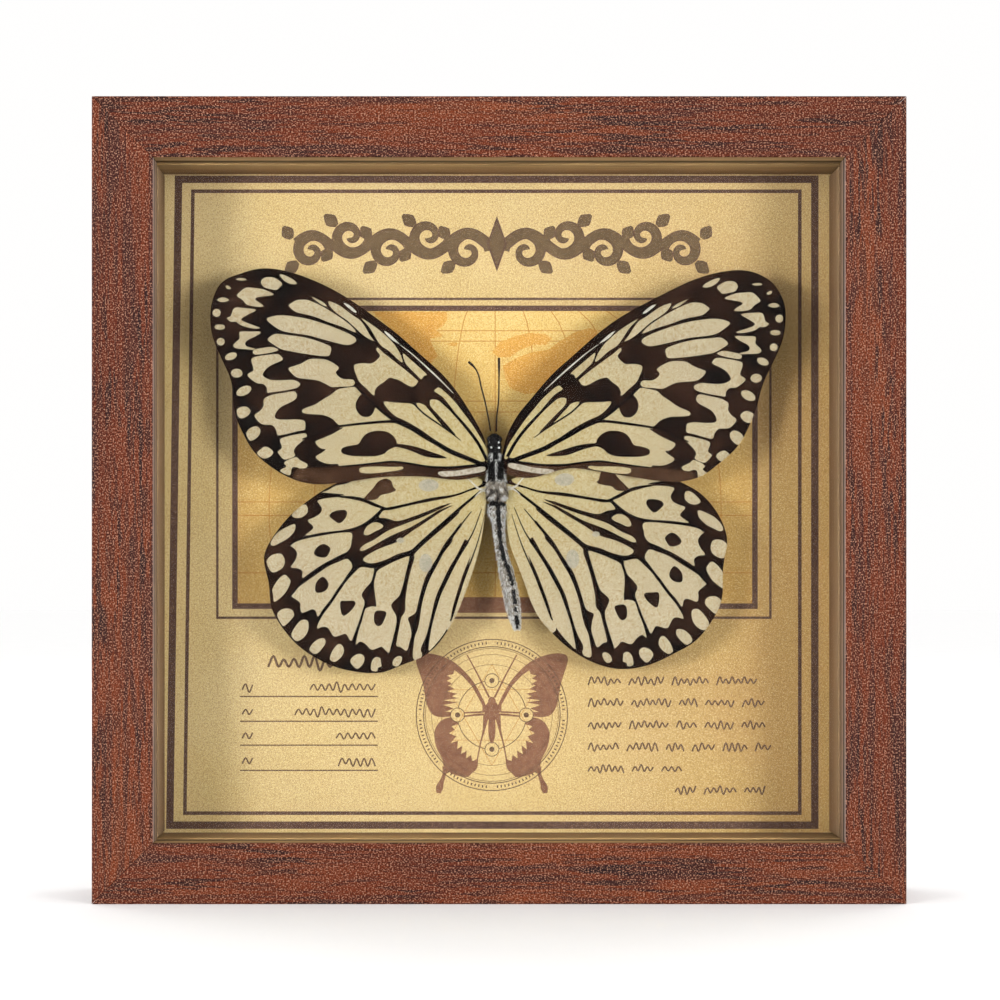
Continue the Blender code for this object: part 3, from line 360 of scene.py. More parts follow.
HINDWING_DARK = {
    "spot_1": [(-37.6, -11.2), (-36.5, -10.2), (-34.1, -9.9), (-33.6, -10.9), (-34.4, -12.3),
        (-35.4, -12.9), (-36.5, -12.3)],
    "spot_2": [(-41.1, -19.6), (-40.2, -18.2), (-38.8, -17.6), (-37.4, -18.5), (-37.6, -19.5),
        (-38.4, -20.6), (-40.2, -20.5)],
    "spot_3": [(-39.2, -25), (-38.1, -25.9), (-37.8, -27.1), (-38.5, -28.2), (-40, -28.7),
        (-40.8, -28.2), (-40.6, -26.4)],
    "spot_4": [(-35.1, -30.7), (-33.8, -30.5), (-32.1, -30.5), (-31.7, -31.2), (-32.6, -32.6),
        (-34.3, -33.9), (-35, -32.8)],
    "spot_5": [(-27.5, -33.7), (-27, -32.8), (-25.9, -32.7), (-24.7, -33.1), (-25, -34.4),
        (-25.7, -35.8), (-26.6, -36.2), (-27.4, -35.4)],
    "knob_1": [(-30.1, -29.3), (-29.1, -27.8), (-28, -27.1), (-27.4, -28.2), (-27.2, -29.6),
        (-27, -31.8), (-28.4, -31.4), (-29.3, -31.7), (-29.7, -30.3)],
    "knob_2": [(-23.6, -31.4), (-22.2, -29.8), (-21.1, -29.1), (-20.5, -30.5), (-20.4, -31.9),
        (-21.1, -33.3), (-22, -33.7), (-22.9, -32.8)],
    "knob_3": [(-19.7, -34.3), (-18.1, -34.4), (-17.5, -35.1), (-17.7, -36.5), (-18.4, -37.9),
        (-19, -37.2), (-19.4, -35.6)],
}
HINDWING_VEINS = {
    "subcosta": [(-4.5, -4.8), (-9.1, -6.5), (-14.4, -7.3), (-19, -8.4), (-23.6, -9.4), (-25.4, -9.4),
        (-30.5, -7.3), (-35.1, -6.9), (-34.4, -6.6), (-39.3, -6.2)],
    "radius": [(-25.4, -9.5), (-26.6, -10.7), (-28.4, -12.5), (-30.5, -13.7), (-32.8, -14.6),
        (-35.1, -14.8), (-39.1, -15.3), (-44.8, -16.7), (-46.4, -17.8)],
    "media_1": [(-33.5, -19.7), (-36.8, -21.3), (-41.4, -24.5), (-43.7, -26.1), (-45.5, -28.2),
        (-46.7, -29.6)],
    "media_2": [(-31.5, -22.7), (-33.5, -25.2), (-35.1, -27.5), (-37, -30.5), (-39.1, -33.3),
        (-40.4, -35.6)],
    "media_3": [(-27, -22.9), (-27.7, -25.9), (-29.6, -31.9), (-30.5, -34.7), (-32.1, -39.7)],
    "cubitus_1": [(-19, -19.7), (-19.9, -24.3), (-21.1, -29.1), (-22.3, -36.3), (-23.8, -42.3)],
    "cubitus": [(-3.3, -5.6), (-7.5, -9.1), (-12.1, -13.2), (-16.7, -17.3), (-18.5, -19),
        (-20.8, -20.2), (-27, -22.6), (-30.3, -22.1)],
    "cubitus_2": [(-5.4, -10.2), (-9.8, -16), (-13.2, -21.2), (-13.7, -22.2), (-16, -27.5),
        (-17.8, -33.7), (-18.6, -38.1), (-19.2, -41.6)],
    "anal_1": [(-3.1, -9.7), (-5.2, -15.3), (-7.9, -19.7), (-11.6, -26.4),
        (-13.9, -33.3), (-15.2, -38.8), (-15.8, -42)],
    "anal_2": [(-2.4, -11.1), (-4.2, -17.9), (-7.2, -25.9), (-9.5, -33.3),
        (-10.2, -35.1)],
}


# ---------------------------------------------------------------- plane shapes, in millimetres

def smooth(points, closed=True, steps=4):
    """A Catmull-Rom curve through the points."""
    here = np.array(points, float)
    if closed:
        before, after, beyond = (np.roll(here, shift, 0) for shift in (1, -1, -2))
    else:
        before = np.vstack([here[:1], here[:-1]])
        after = np.vstack([here[1:], here[-1:]])
        beyond = np.vstack([here[2:], here[-1:], here[-1:]])
    parts = []
    for step in range(steps):
        t = step / steps
        parts.append(0.5 * (2 * here + (after - before) * t
                            + (2 * before - 5 * here + 4 * after - beyond) * t ** 2
                            + (3 * here - before - 3 * after + beyond) * t ** 3))
    curve = np.stack(parts, 1).reshape(-1, 2)
    if not closed:
        curve = np.vstack([curve[:-steps], here[-1:]])
    return curve


def stroke(line, widths):
    """The outline of a pen stroke along a line whose width runs evenly through the given widths."""
    line = np.array(line, float)
    ahead = np.gradient(line, axis=0)
    ahead /= np.linalg.norm(ahead, axis=1)[:, None] + 1e-9
    aside = np.stack([-ahead[:, 1], ahead[:, 0]], 1)
    along = np.linspace(0, 1, len(line))
    half = np.interp(along, np.linspace(0, 1, len(widths)), widths)[:, None] / 2
    return np.vstack([line + aside * half, (line - aside * half)[::-1]])


def oval(x, z, half_width, half_height, tilt=0, count=20):
    """An ellipse whose long side is turned by tilt degrees."""
    turn = math.radians(tilt)
    angles = np.linspace(0, 2 * math.pi, count, endpoint=False)
    across, up = half_width * np.cos(angles), half_height * np.sin(angles)
    return np.stack([x + across * math.cos(turn) - up * math.sin(turn),
                     z + across * math.sin(turn) + up * math.cos(turn)], 1)


def rectangle(x0, z0, x1, z1):
    """The four corners between two opposite ones."""
    return np.array([(x0, z0), (x1, z0), (x1, z1), (x0, z1)], float)


def inside(points, polygon):
    """Which of the points lie inside the polygon."""
    x, z = points[:, 0], points[:, 1]
    result = np.zeros(len(points), bool)
    for (x0, z0), (x1, z1) in zip(polygon, np.roll(polygon, -1, 0)):
        if z0 == z1:
            continue
        crosses = (z0 > z) != (z1 > z)
        result ^= crosses & (x < (x1 - x0) * (z - z0) / (z1 - z0) + x0)
    return result


def distance_to(points, line):
    """How far each point is from a line of joined segments."""
    nearest = np.full(len(points), 1e9)
    for start, end in zip(line[:-1], line[1:]):
        run = end - start
        share = np.clip((points - start) @ run / max(run @ run, 1e-9), 0, 1)
        nearest = np.minimum(nearest, np.linalg.norm(points - start - share[:, None] * run, axis=1))
    return nearest


# ---------------------------------------------------------------- thin sheets with their markings

def divide(outline, marks, ridges, spacing):
    """Triangles that fill the outline and keep to the edge of every marking."""
    corners, edges = [], []

    def add(line, closed):
        first = len(corners)
        corners.extend(map(tuple, line))
        count = len(line)
        edges.extend((first + i, first + (i + 1) % count) for i in range(count if closed else count - 1))

    add(outline, True)
    for mark in marks:
        add(mark[1], True)
    for line, _, _ in ridges:
        add(line, False)
    low, high = outline.min(0), outline.max(0)
    columns = np.arange(low[0] + spacing / 2, high[0], spacing)
    rows = np.arange(low[1] + spacing / 2, high[1], spacing)
    grid = np.array([(x + (i % 2) * spacing / 2, z) for i, z in enumerate(rows) for x in columns])
    corners.extend(map(tuple, grid[inside(grid, outline)]))
    points, _, triangles, *_ = geometry.delaunay_2d_cdt(
        [Vector(corner) for corner in corners], edges, [], 0, MERGE_DISTANCE)
    points = np.array([tuple(point) for point in points])
    triangles = np.array([tuple(triangle) for triangle in triangles])
    middles = points[triangles].mean(1)
    keep = inside(middles, outline)
    return points, triangles[keep], middles[keep]


def paint(middles, marks, ground):
    """The material of each triangle: the last marking that it lies in, or the ground."""
    colours = np.full(len(middles), ground, dtype=object)
    for mark in marks:
        covered = inside(middles, mark[1])
        if len(mark) > 2:
            covered &= colours == mark[2]
        colours[covered] = mark[0]
    return colours


def make_sheet(name, outline, marks, ground, surface, thickness, spacing, ridges=()):
    """A sheet with a front and a back side, in which each marking has its own material.

    marks are (material, polygon) in the order they are laid on, with a third value where a marking
    lies on one other material only. ridges are (line, height, half width). surface gives the depth.
    """
    points, triangles, middles = divide(outline, marks, ridges, spacing)
    colours = paint(middles, marks, ground)
    relief = np.zeros(len(points))
    for line, height, half_width in ridges:
        rise = height * np.clip(1 - distance_to(points, line) / half_width, 0, 1)
        relief = np.maximum(relief, rise)
    depth = np.array([surface(x, z) for x, z in points])
    front = np.stack([points[:, 0], depth - thickness / 2 - relief, points[:, 1]], 1)
    back = np.stack([points[:, 0], depth + thickness / 2 + relief, points[:, 1]], 1)
    count = len(points)
    a, b, c = (points[triangles[:, i]] for i in range(3))
    turned = (b[:, 0] - a[:, 0]) * (c[:, 1] - a[:, 1]) - (b[:, 1] - a[:, 1]) * (c[:, 0] - a[:, 0]) < 0
    triangles[turned] = triangles[turned][:, ::-1]
    faces = [tuple(t) for t in triangles] + [tuple(t[::-1] + count) for t in triangles]
    owner = {}
    for index, triangle in enumerate(triangles):
        for i in range(3):
            owner[(triangle[i], triangle[(i + 1) % 3])] = index
    rim = [(edge, index) for edge, index in owner.items() if edge[::-1] not in owner]
    faces += [(p, p + count, q + count, q) for (p, q), _ in rim]
    face_colours = list(colours) + list(colours) + [colours[index] for _, index in rim]
    return make_object(name, np.vstack([front, back]), faces, face_colours)


def make_object(name, corners, faces, face_colours):
    """A mesh object in the frame: corners in millimetres, and a material name for each face."""
    mesh = bpy.data.meshes.new(name)
    mesh.from_pydata((np.array(corners) * MM).tolist(), [], faces)
    palette = sorted(set(face_colours))
    for colour in palette:
        mesh.materials.append(MATERIALS[colour]())
    slots = {colour: index for index, colour in enumerate(palette)}
    mesh.polygons.foreach_set("material_index", [slots[colour] for colour in face_colours])
    mesh.validate()
    mesh.shade_smooth()
    mesh.set_sharp_from_angle(angle=SHARP_ANGLE)
    made = bpy.data.objects.new(name, mesh)
    bpy.context.scene.collection.objects.link(made)
    return made


def place(made, offset_mm, replaced):
    """Moves the mesh to its place, hangs it on the root body, and hides the CAD piece that it replaces."""
    made.data.transform(Matrix.Translation(Vector(offset_mm) * MM))
    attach(made, "root")
    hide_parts(replaced)


# ---------------------------------------------------------------- wings

VEIN_WIDTHS = {
    "discal": (0.5, 0.8, 1.1, 1.0), "branch": (0.45, 0.35), "ray_1": (0.4, 0.4, 0.15),
    "ray_2": (0.35, 0.3, 0.1), "radial": (0.45, 0.7, 0.75), "anal_patch": (0.35, 0.5, 0.6),
    "subcosta": (0.3, 0.5, 0.5), "radius": (0.6, 0.5, 0.5), "cubitus": (0.5, 0.85, 0.8, 0.6),
    "anal_1": (0.15, 0.6, 0.5), "anal_2": (0.12, 0.4, 0.35), "cubitus_2": (0.2, 0.75, 0.6),
}
VEIN_WIDTH = (0.65, 0.5, 0.5)


def fitted(points, fit):
    """The points carried from a left wing onto the right one."""
    points = np.array(points, float)
    if fit is None:
        return points
    (xx, xz, x0), (zx, zz, z0) = fit
    x, z = points[:, 0], points[:, 1]
    return np.stack([xx * x + xz * z + x0, zx * x + zz * z + z0], 1)


def group_marks(groups, fit):
    """The markings of each group, carried to the wing that they lie on."""
    return [(colour, fitted(shape, fit)) for colour, shapes in groups for shape in shapes]


def make_wing(name, outline, fit, behind, patches, veins, groups):
    """One wing sheet: dark ground, cream patches, dark spots and raised veins."""
    lines = {key: fitted(smooth(points, closed=False, steps=3), fit) for key, points in veins.items()}
    marks = [("wing_cream", fitted(smooth(points, steps=3), fit)) for points in patches.values()]
    marks += group_marks(groups["under"], fit)
    for key, line in lines.items():
        marks.append(("wing_vein", stroke(line, VEIN_WIDTHS.get(key, VEIN_WIDTH))))
    marks += group_marks(groups["over"], fit)
    ridges = [(line, VEIN_RISE, VEIN_REACH) for line in lines.values()]

    def surface(x, z):
        ripple = RIPPLE * noise.noise(Vector((x / RIPPLE_LENGTH, z / RIPPLE_LENGTH, behind)))
        span = x / HALF_SPAN
        wave = WING_WAVE * math.sin(2 * math.pi * z / WAVE_LENGTH) * abs(span)
        return behind - WING_RISE * span * span + wave + ripple * min(1, abs(span) * 4)

    border = smooth(outline, closed=False)
    wing = make_sheet(name + "_sheet", border, marks, "wing_dark", surface, WING_THICKNESS, WING_SPACING,
                      ridges)
    place(wing, BUTTERFLY_AT, name)


def forewing_groups():
    """The forewing's markings that lie under and over its veins."""
    dark = [smooth(points, steps=3) for points in FOREWING_DARK.values()]
    spots = [oval(*spot) for spot in FOREWING_SPOTS]
    slivers = [smooth(FOREWING_WHITE[key], steps=3) for key in ("sliver_1", "sliver_2")]
    long_sliver = stroke(smooth(FOREWING_WHITE["sliver_3"], closed=False), (0.1, 0.36, 0.1))
    return {
        "under": [("wing_brown", [ANAL_BAND]), ("wing_cream", spots), ("wing_dark", dark),
                  ("wing_cream", [smooth(ANAL_PATCH, steps=3)])],
        "over": [("wing_white", slivers + [long_sliver]),
                 ("wing_pale", [smooth(FOREWING_WHITE["anal_streak"], steps=3)])],
    }


def hindwing_groups():
    """The hindwing's markings that lie under and over its veins."""
    dark = [smooth(points, steps=3) for points in HINDWING_DARK.values()]
    return {
        "under": [("wing_dark", dark), ("wing_grey", [oval(*shape) for shape in HINDWING_OVALS]),
                  ("wing_brown", [smooth(HINDWING_PATCH, steps=3)])],
        "over": [("wing_white", [stroke(smooth(line, closed=False), (0.15, 0.45, 0.5))
                                 for line in HINDWING_WHITE])],
    }


# ---------------------------------------------------------------- printed card

# the border's rules, from the outside in: left, bottom, right, top, width, filling, lean
RINGS = [
    (-76.1, 14.4, 74.0, 164.7, 1.7, "card", 2.0), (-72.2, 17.6, 70.1, 161.5, 0.82, "card", 1.85),
    (-64.6, 62.7, 63.2, 136.6, 0.55, "card", 0.0), (-60.9, 65.0, 60.0, 134.8, 1.27, "map", 0.0),
]
TITLE_Z = 149.0
EMBLEM_X, EMBLEM_Z = -1.15, 40.6


def ring(x0, z0, x1, z1, width, filling, lean):
    """A rectangle drawn as a line of the given width; its left side leans inwards going up."""
    outer = [(x0, z0), (x1, z0), (x1, z1), (x0 + lean, z1)]
    inner = [(x0 + width, z0 + width), (x1 - width, z0 + width), (x1 - width, z1 - width),
             (x0 + lean + width, z1 - width)]
    return [("ink", np.array(outer)), (filling, np.array(inner))]


def circle_line(material, x, z, radius, width, count=72):
    """A circle drawn as a line of the given width."""
    angles = np.linspace(0, 2 * math.pi, count + 1)
    centre_line = np.stack([x + radius * np.cos(angles), z + radius * np.sin(angles)], 1)
    return (material, stroke(centre_line, (width, width)))


# land on the map, and the bar at the middle of its lower edge
MAP_LAND = [
    [(-28.7, 133.3), (-11.5, 133.3), (-11.5, 131.5), (-12.4, 130.1), (-14.0, 129.2), (-12.4, 127.8),
     (-15.4, 127.1), (-14.9, 125.7), (-13.6, 123.2), (-15.4, 121.3), (-21.1, 126.4), (-23.4, 128.5)],
    [(-11.3, 125.9), (-10.1, 126.4), (-9.0, 126.2), (-9.2, 125.5), (-10.6, 125.5)],
    [(-1.1, 124.1), (0.7, 126.4), (4.2, 127.8), (7.6, 128.5), (11.1, 128.2), (12.7, 127.3),
     (11.3, 125.7), (8.3, 125.7), (5.3, 124.6), (3.0, 122.9), (0.3, 122.9)],
    [(1.4, 120.9), (4.4, 122.7), (8.1, 124.1), (11.8, 124.6), (14.5, 126.6), (18.0, 128.7),
     (21.4, 129.6), (23.7, 128.9), (20.3, 125.5), (16.8, 122.3), (13.6, 118.3), (9.9, 114.9),
     (6.5, 114.4), (3.0, 115.8), (1.9, 118.1)],
]
MAP_BAR = (-22.0, 64.1, 22.0, 67.7)


def map_shapes():
    """The land on the map and the brown bar at the middle of its lower edge."""
    return [("map_land", np.array(land)) for land in MAP_LAND] + [("emblem", rectangle(*MAP_BAR))]


# the map's net: the heights of its parallels, and how far it reaches
PARALLELS = (129.0, 126.6, 112.8, 110.3, 89.6, 86.5, 73.3)
NET_HALF_WIDTH = 60
NET_BOTTOM, NET_TOP = 64, 134
NET_LINE = 0.2


def graticule():
    """The faint net of parallels and meridians on the map; the meridians bulge at the globe's middle."""
    lines = [np.array([(-NET_HALF_WIDTH, z), (NET_HALF_WIDTH, z)], float) for z in PARALLELS]
    globe_x, globe_z, globe_half_height = -0.4, 88.0, 47.0
    meridian_gap, meridians_a_side = 10.4, 6
    heights = np.linspace(NET_BOTTOM, NET_TOP, 24)
    bulge = 0.5 + 0.5 * np.sqrt(np.clip(1 - ((heights - globe_z) / globe_half_height) ** 2, 0, 1))
    for step in range(-meridians_a_side, meridians_a_side + 1):
        lines.append(np.stack([globe_x + meridian_gap * step * bulge, heights], 1))
    return [("map_line", stroke(line, (NET_LINE, NET_LINE)), "map") for line in lines]


# pen loops: their swings and the distance from one to the next, as shares of the row's height
LOOP_HEIGHTS = (0.55, 0.6, 0.7, 1.15)
LOOP_PITCH = 0.42


def squiggle(x0, x1, z, height, width=0.36):
    """A pen line with loops of uneven height, which stands where the real card has words."""
    chooser = random.Random(round(x0 * 7 + z * 13))
    count = max(2, round((x1 - x0) / (height * LOOP_PITCH)))
    swings = [chooser.choice(LOOP_HEIGHTS) * (1 if i % 2 else -1) for i in range(count + 1)]
    turns = np.stack([np.linspace(x0, x1, count + 1), z + height / 2 * np.array(swings)], 1)
    return ("print", stroke(smooth(turns, closed=False, steps=5), (width, width)))


# the ruled rows on the left: each rule's height on the card, and where its longer run of loops starts
RULES = ((44.7, -43.0), (39.0, -46.5), (33.5, -37.0), (27.7, -36.5))
RULE_START, RULE_END = -59.1, -27.4
RULE_WIDTH = 0.3
LABEL_START, LABEL_END, LOOPS_END = -58.6, -56.2, -28.0
ROW_RISE, ROW_HEIGHT = 2.3, 2.1
HEADING = (-52.6, -36.0, 52.5, 2.9, 0.55)      # start, end, height on the card, row height, pen width
# the free rows on the right: where each starts and ends, and its height on the card
FREE_ROWS = ((21.0, 61.0, 48.4), (21.0, 61.5, 43.4), (21.0, 63.8, 38.3), (21.0, 63.0, 33.2),
             (21.0, 42.5, 28.2), (41.0, 63.8, 23.3))
FREE_HEIGHT = 1.7
WORD_GAP = 1.9
SHORTEST_WORD = 3


def ruled_rows():
    """Rows of pen loops on the left of the emblem, over rules and under a heading."""
    marks = []
    for z, start in RULES:
        marks.append(("print", rectangle(RULE_START, z, RULE_END, z + RULE_WIDTH)))
        marks.append(squiggle(LABEL_START, LABEL_END, z + ROW_RISE, ROW_HEIGHT))
        marks.append(squiggle(start, LOOPS_END, z + ROW_RISE, ROW_HEIGHT))
    marks.append(squiggle(*HEADING))
    return marks


def free_rows():
    """Rows of pen loops on the right of the emblem, in runs of uneven length."""
    marks = []
    chooser = random.Random(5)
    for x, end, z in FREE_ROWS:
        while x < end - SHORTEST_WORD:
            word = min(chooser.uniform(4.0, 9.5), end - x)
            marks.append(squiggle(x, x + word, z, FREE_HEIGHT))
            x += word + WORD_GAP
    return marks


def scroll(x, z, radius, start, turns, hand):
    """The line and the pen widths of a curl that tightens as it turns."""
    share = np.linspace(0, 1, 40)
    angles = start + hand * share * turns * 2 * math.pi
    reach = radius * (1 - share) ** 0.8 + 0.35
    line = np.stack([x + reach * np.cos(angles), z + reach * np.sin(angles)], 1)
    return line, (0.9, 2.1, 1.7, 1.0, 0.9)


def leaf(x, z, length, tilt):
    """The line and the pen widths of a pointed leaf that grows from one end."""
    turn = math.radians(tilt)
    share = length * np.linspace(0, 1, 9)
    line = np.stack([x + share * math.cos(turn), z + share * math.sin(turn)], 1)
    return line, (0.5, 1.9, 2.6, 1.6, 0.1)


# the title's waving stem on each side of the middle, and the curls along it
STEM_START, STEM_END = 2.2, 46.5
STEM_SWING, STEM_WAVE = 2.4, 18
FIRST_CURL, CURL_GAP, CURLS = 6.8, 9.0, 5
TITLE_EDGE = 0.5


def title_flourish():
    """A symmetrical scroll of curls and leaves, where the real card has its title."""
    lines = []
    for hand in (-1, 1):
        x = np.linspace(STEM_START, STEM_END, 80)
        swing = STEM_SWING * np.sin((x - STEM_START) / STEM_WAVE * 2 * math.pi)
        lines.append((np.stack([hand * x, TITLE_Z + swing], 1), (2.2, 2.0, 1.8, 0.8)))
        for step in range(CURLS):
            middle = FIRST_CURL + CURL_GAP * step
            up = 1 if step % 2 else -1
            lines.append(scroll(hand * middle, TITLE_Z + up * 1.7, 4.3 - 0.15 * step,
                                math.pi / 2 * (1 + hand), 1.3, up * hand))
            lines.append(leaf(hand * (middle + 3.0), TITLE_Z + up * 4.2, 3.8, 90 * up - hand * up * 50))
            lines.append(leaf(hand * (middle + 4.4), TITLE_Z - up * 1.2, 3.4, -90 * up + hand * up * 35))
    outlines = [("ink", stroke(line, np.array(widths) + TITLE_EDGE)) for line, widths in lines]
    fillings = [("title", stroke(line, widths)) for line, widths in lines]
    middle = np.array((0, TITLE_Z))
    diamond = np.array([(0, 6.4), (2.3, 0), (0, -6.4), (-2.3, 0)])
    return outlines + fillings + [("ink", diamond + middle), ("title", diamond * 0.8 + middle)]


# the emblem's right half, measured from its centre
EMBLEM_FOREWING = [
    (1.4, 2.2), (3.7, 6.8), (5.7, 9.4), (8.5, 12.0), (11.8, 13.6), (15.1, 14.2), (17.2, 13.7), (17.4, 12.0),
    (16.5, 9.2), (15.8, 6.8), (15.4, 4.3), (14.8, 1.9), (13.6, 0.1), (11.7, -0.5), (9.4, -0.3), (6.5, 0.3),
    (1.6, 0.6),
]
EMBLEM_FOREWING_FIELD = [
    (2.2, 2.3), (4.6, 6.6), (6.8, 9.0), (8.6, 10.3), (8.9, 9.4), (10.3, 9.1), (9.2, 8.4), (10.4, 7.9),
    (9.0, 7.1), (10.1, 6.8), (8.6, 6.0), (10.4, 5.4), (7.9, 4.9), (9.2, 4.3), (7.8, 3.8), (11.4, 3.4),
    (7.8, 2.9), (11.1, 2.3), (8.8, 1.5), (10.8, 0.7), (6.0, 0.7), (2.2, 0.9),
]
EMBLEM_HINDWING = [
    (1.2, 0.2), (6.9, -0.2), (9.5, -0.5), (11.8, -1.4), (13.1, -3.4), (13.2, -5.6), (12.6, -7.9),
    (11.4, -10.2), (10.9, -12.2), (8.8, -13.7), (5.8, -14.3), (4.6, -13.4), (3.4, -12.2), (3.1, -9.8),
    (2.4, -6.3), (1.5, -3.2),
]
EMBLEM_HINDWING_FIELD = [
    (2.0, -0.1), (6.6, -0.5), (8.3, -1.2), (7.6, -2.1), (9.3, -2.6), (8.5, -3.4), (9.9, -4.2), (8.2, -4.9),
    (9.5, -6.5), (7.8, -5.9), (8.0, -7.9), (6.8, -7.0), (7.1, -9.0), (5.8, -8.2), (5.9, -10.0), (4.8, -9.2),
    (4.5, -10.6), (3.5, -10.2), (2.9, -7.0), (2.1, -3.4),
]
EMBLEM_TAIL = [(10.6, -12.0), (11.1, -14.2), (11.9, -16.2), (12.3, -18.0)]
EMBLEM_FEELER = [(0.6, 4.0), (3.2, 9.2), (5.7, 13.8)]
# its body: height above the centre, half width, half height
EMBLEM_BODY = [(0.9, 1.75, 2.3), (3.0, 0.9, 1.2), (-3.0, 0.85, 3.6)]
STAR_RADIUS, INNER_RADIUS = 11.6, 7.9
# its rings: radius, width
EMBLEM_RINGS = [
    (17.4, 0.22), (15.7, 0.22), (15.3, 0.12), (13.9, 0.1), (STAR_RADIUS, 0.1), (INNER_RADIUS, 0.18),
]
# ticks round it, with a gap of two between groups, and the ringed dots
TICKS, TICK_GROUP = 120, 15
TICK_INNER, TICK_OUTER, TICK_WIDTH = 16.25, 16.85, 0.3
DOT_RING, DOT = 1.6, 0.6


def emblem():
    """A plain swallowtail, and over it rings, ticks, ringed dots and a six-pointed star of thin lines."""
    middle = np.array((EMBLEM_X, EMBLEM_Z))
    marks = []
    for hand in (-1, 1):
        side = np.array((hand, 1))
        for outline, field in ((EMBLEM_FOREWING, EMBLEM_FOREWING_FIELD),
                               (EMBLEM_HINDWING, EMBLEM_HINDWING_FIELD)):
            marks.append(("emblem", smooth(outline) * side + middle))
            marks.append(("card", np.array(field) * side + middle))
        tail = smooth(EMBLEM_TAIL, closed=False) * side + middle
        marks.append(("emblem", stroke(tail, (1.7, 0.8, 1.0, 1.7, 0.9))))
        marks.append(("emblem", stroke(np.array(EMBLEM_FEELER) * side + middle, (0.45, 0.3))))
    for radius, width in EMBLEM_RINGS:
        marks.append(circle_line("print", EMBLEM_X, EMBLEM_Z, radius, width))
    for step in range(TICKS):
        if step % TICK_GROUP in (0, TICK_GROUP - 1):
            continue
        angle = 2 * math.pi * (step + 0.5) / TICKS
        tick = np.array([[TICK_INNER], [TICK_OUTER]]) * (math.cos(angle), math.sin(angle)) + middle
        marks.append(("print", stroke(tick, (TICK_WIDTH, TICK_WIDTH))))
    for step in range(4):
        angle = math.pi / 2 * (step + 1)
        x, z = middle + INNER_RADIUS * np.array((math.cos(angle), math.sin(angle)))
        marks.append(("card", oval(x, z, DOT_RING, DOT_RING)))
        marks.append(circle_line("print", x, z, DOT_RING, 0.18, 24))
        marks.append(("print", oval(x, z, DOT, DOT)))
    for step in range(6):
        angles = [math.pi / 2 + math.pi / 3 * (step + turn) for turn in (0, 2)]
        chord = STAR_RADIUS * np.array([(math.cos(angle), math.sin(angle)) for angle in angles]) + middle
        marks.append(("map_line", stroke(chord, (0.12, 0.12)), "card"))
    for rise, half_width, half_height in EMBLEM_BODY:
        marks.append(("emblem", oval(EMBLEM_X, EMBLEM_Z + rise, half_width, half_height)))
    return marks


def make_card():
    """The printed card that closes the box behind the butterfly."""
    low, high = CARD_LOW / MM, CARD_HIGH / MM
    outline = rectangle(low.x, low.z, high.x, high.z)
    marks = [mark for row in RINGS for mark in ring(*row)]
    marks += map_shapes() + graticule() + title_flourish() + emblem() + ruled_rows() + free_rows()
    card = make_sheet("printed_card", outline, marks, "card", lambda x, z: (low.y + high.y) / 2,
                      high.y - low.y, CARD_SPACING)
    place(card, (0, 0, 0), "backing_card")


# ---------------------------------------------------------------- materials

# the studio is brighter than white, so that its floor is pale, and paints are darker to match
PAINT_SHADE = 0.5


def rgb(red, green, blue, shade=PAINT_SHADE):
    """A screen colour, 0 to 255, as the linear colour that a shader takes."""
    channels = [value / 255 for value in (red, green, blue)]
    linear = [c / 12.92 if c < 0.04045 else ((c + 0.055) / 1.055) ** 2.4 for c in channels]
    return tuple(shade * value for value in linear) + (1.0,)


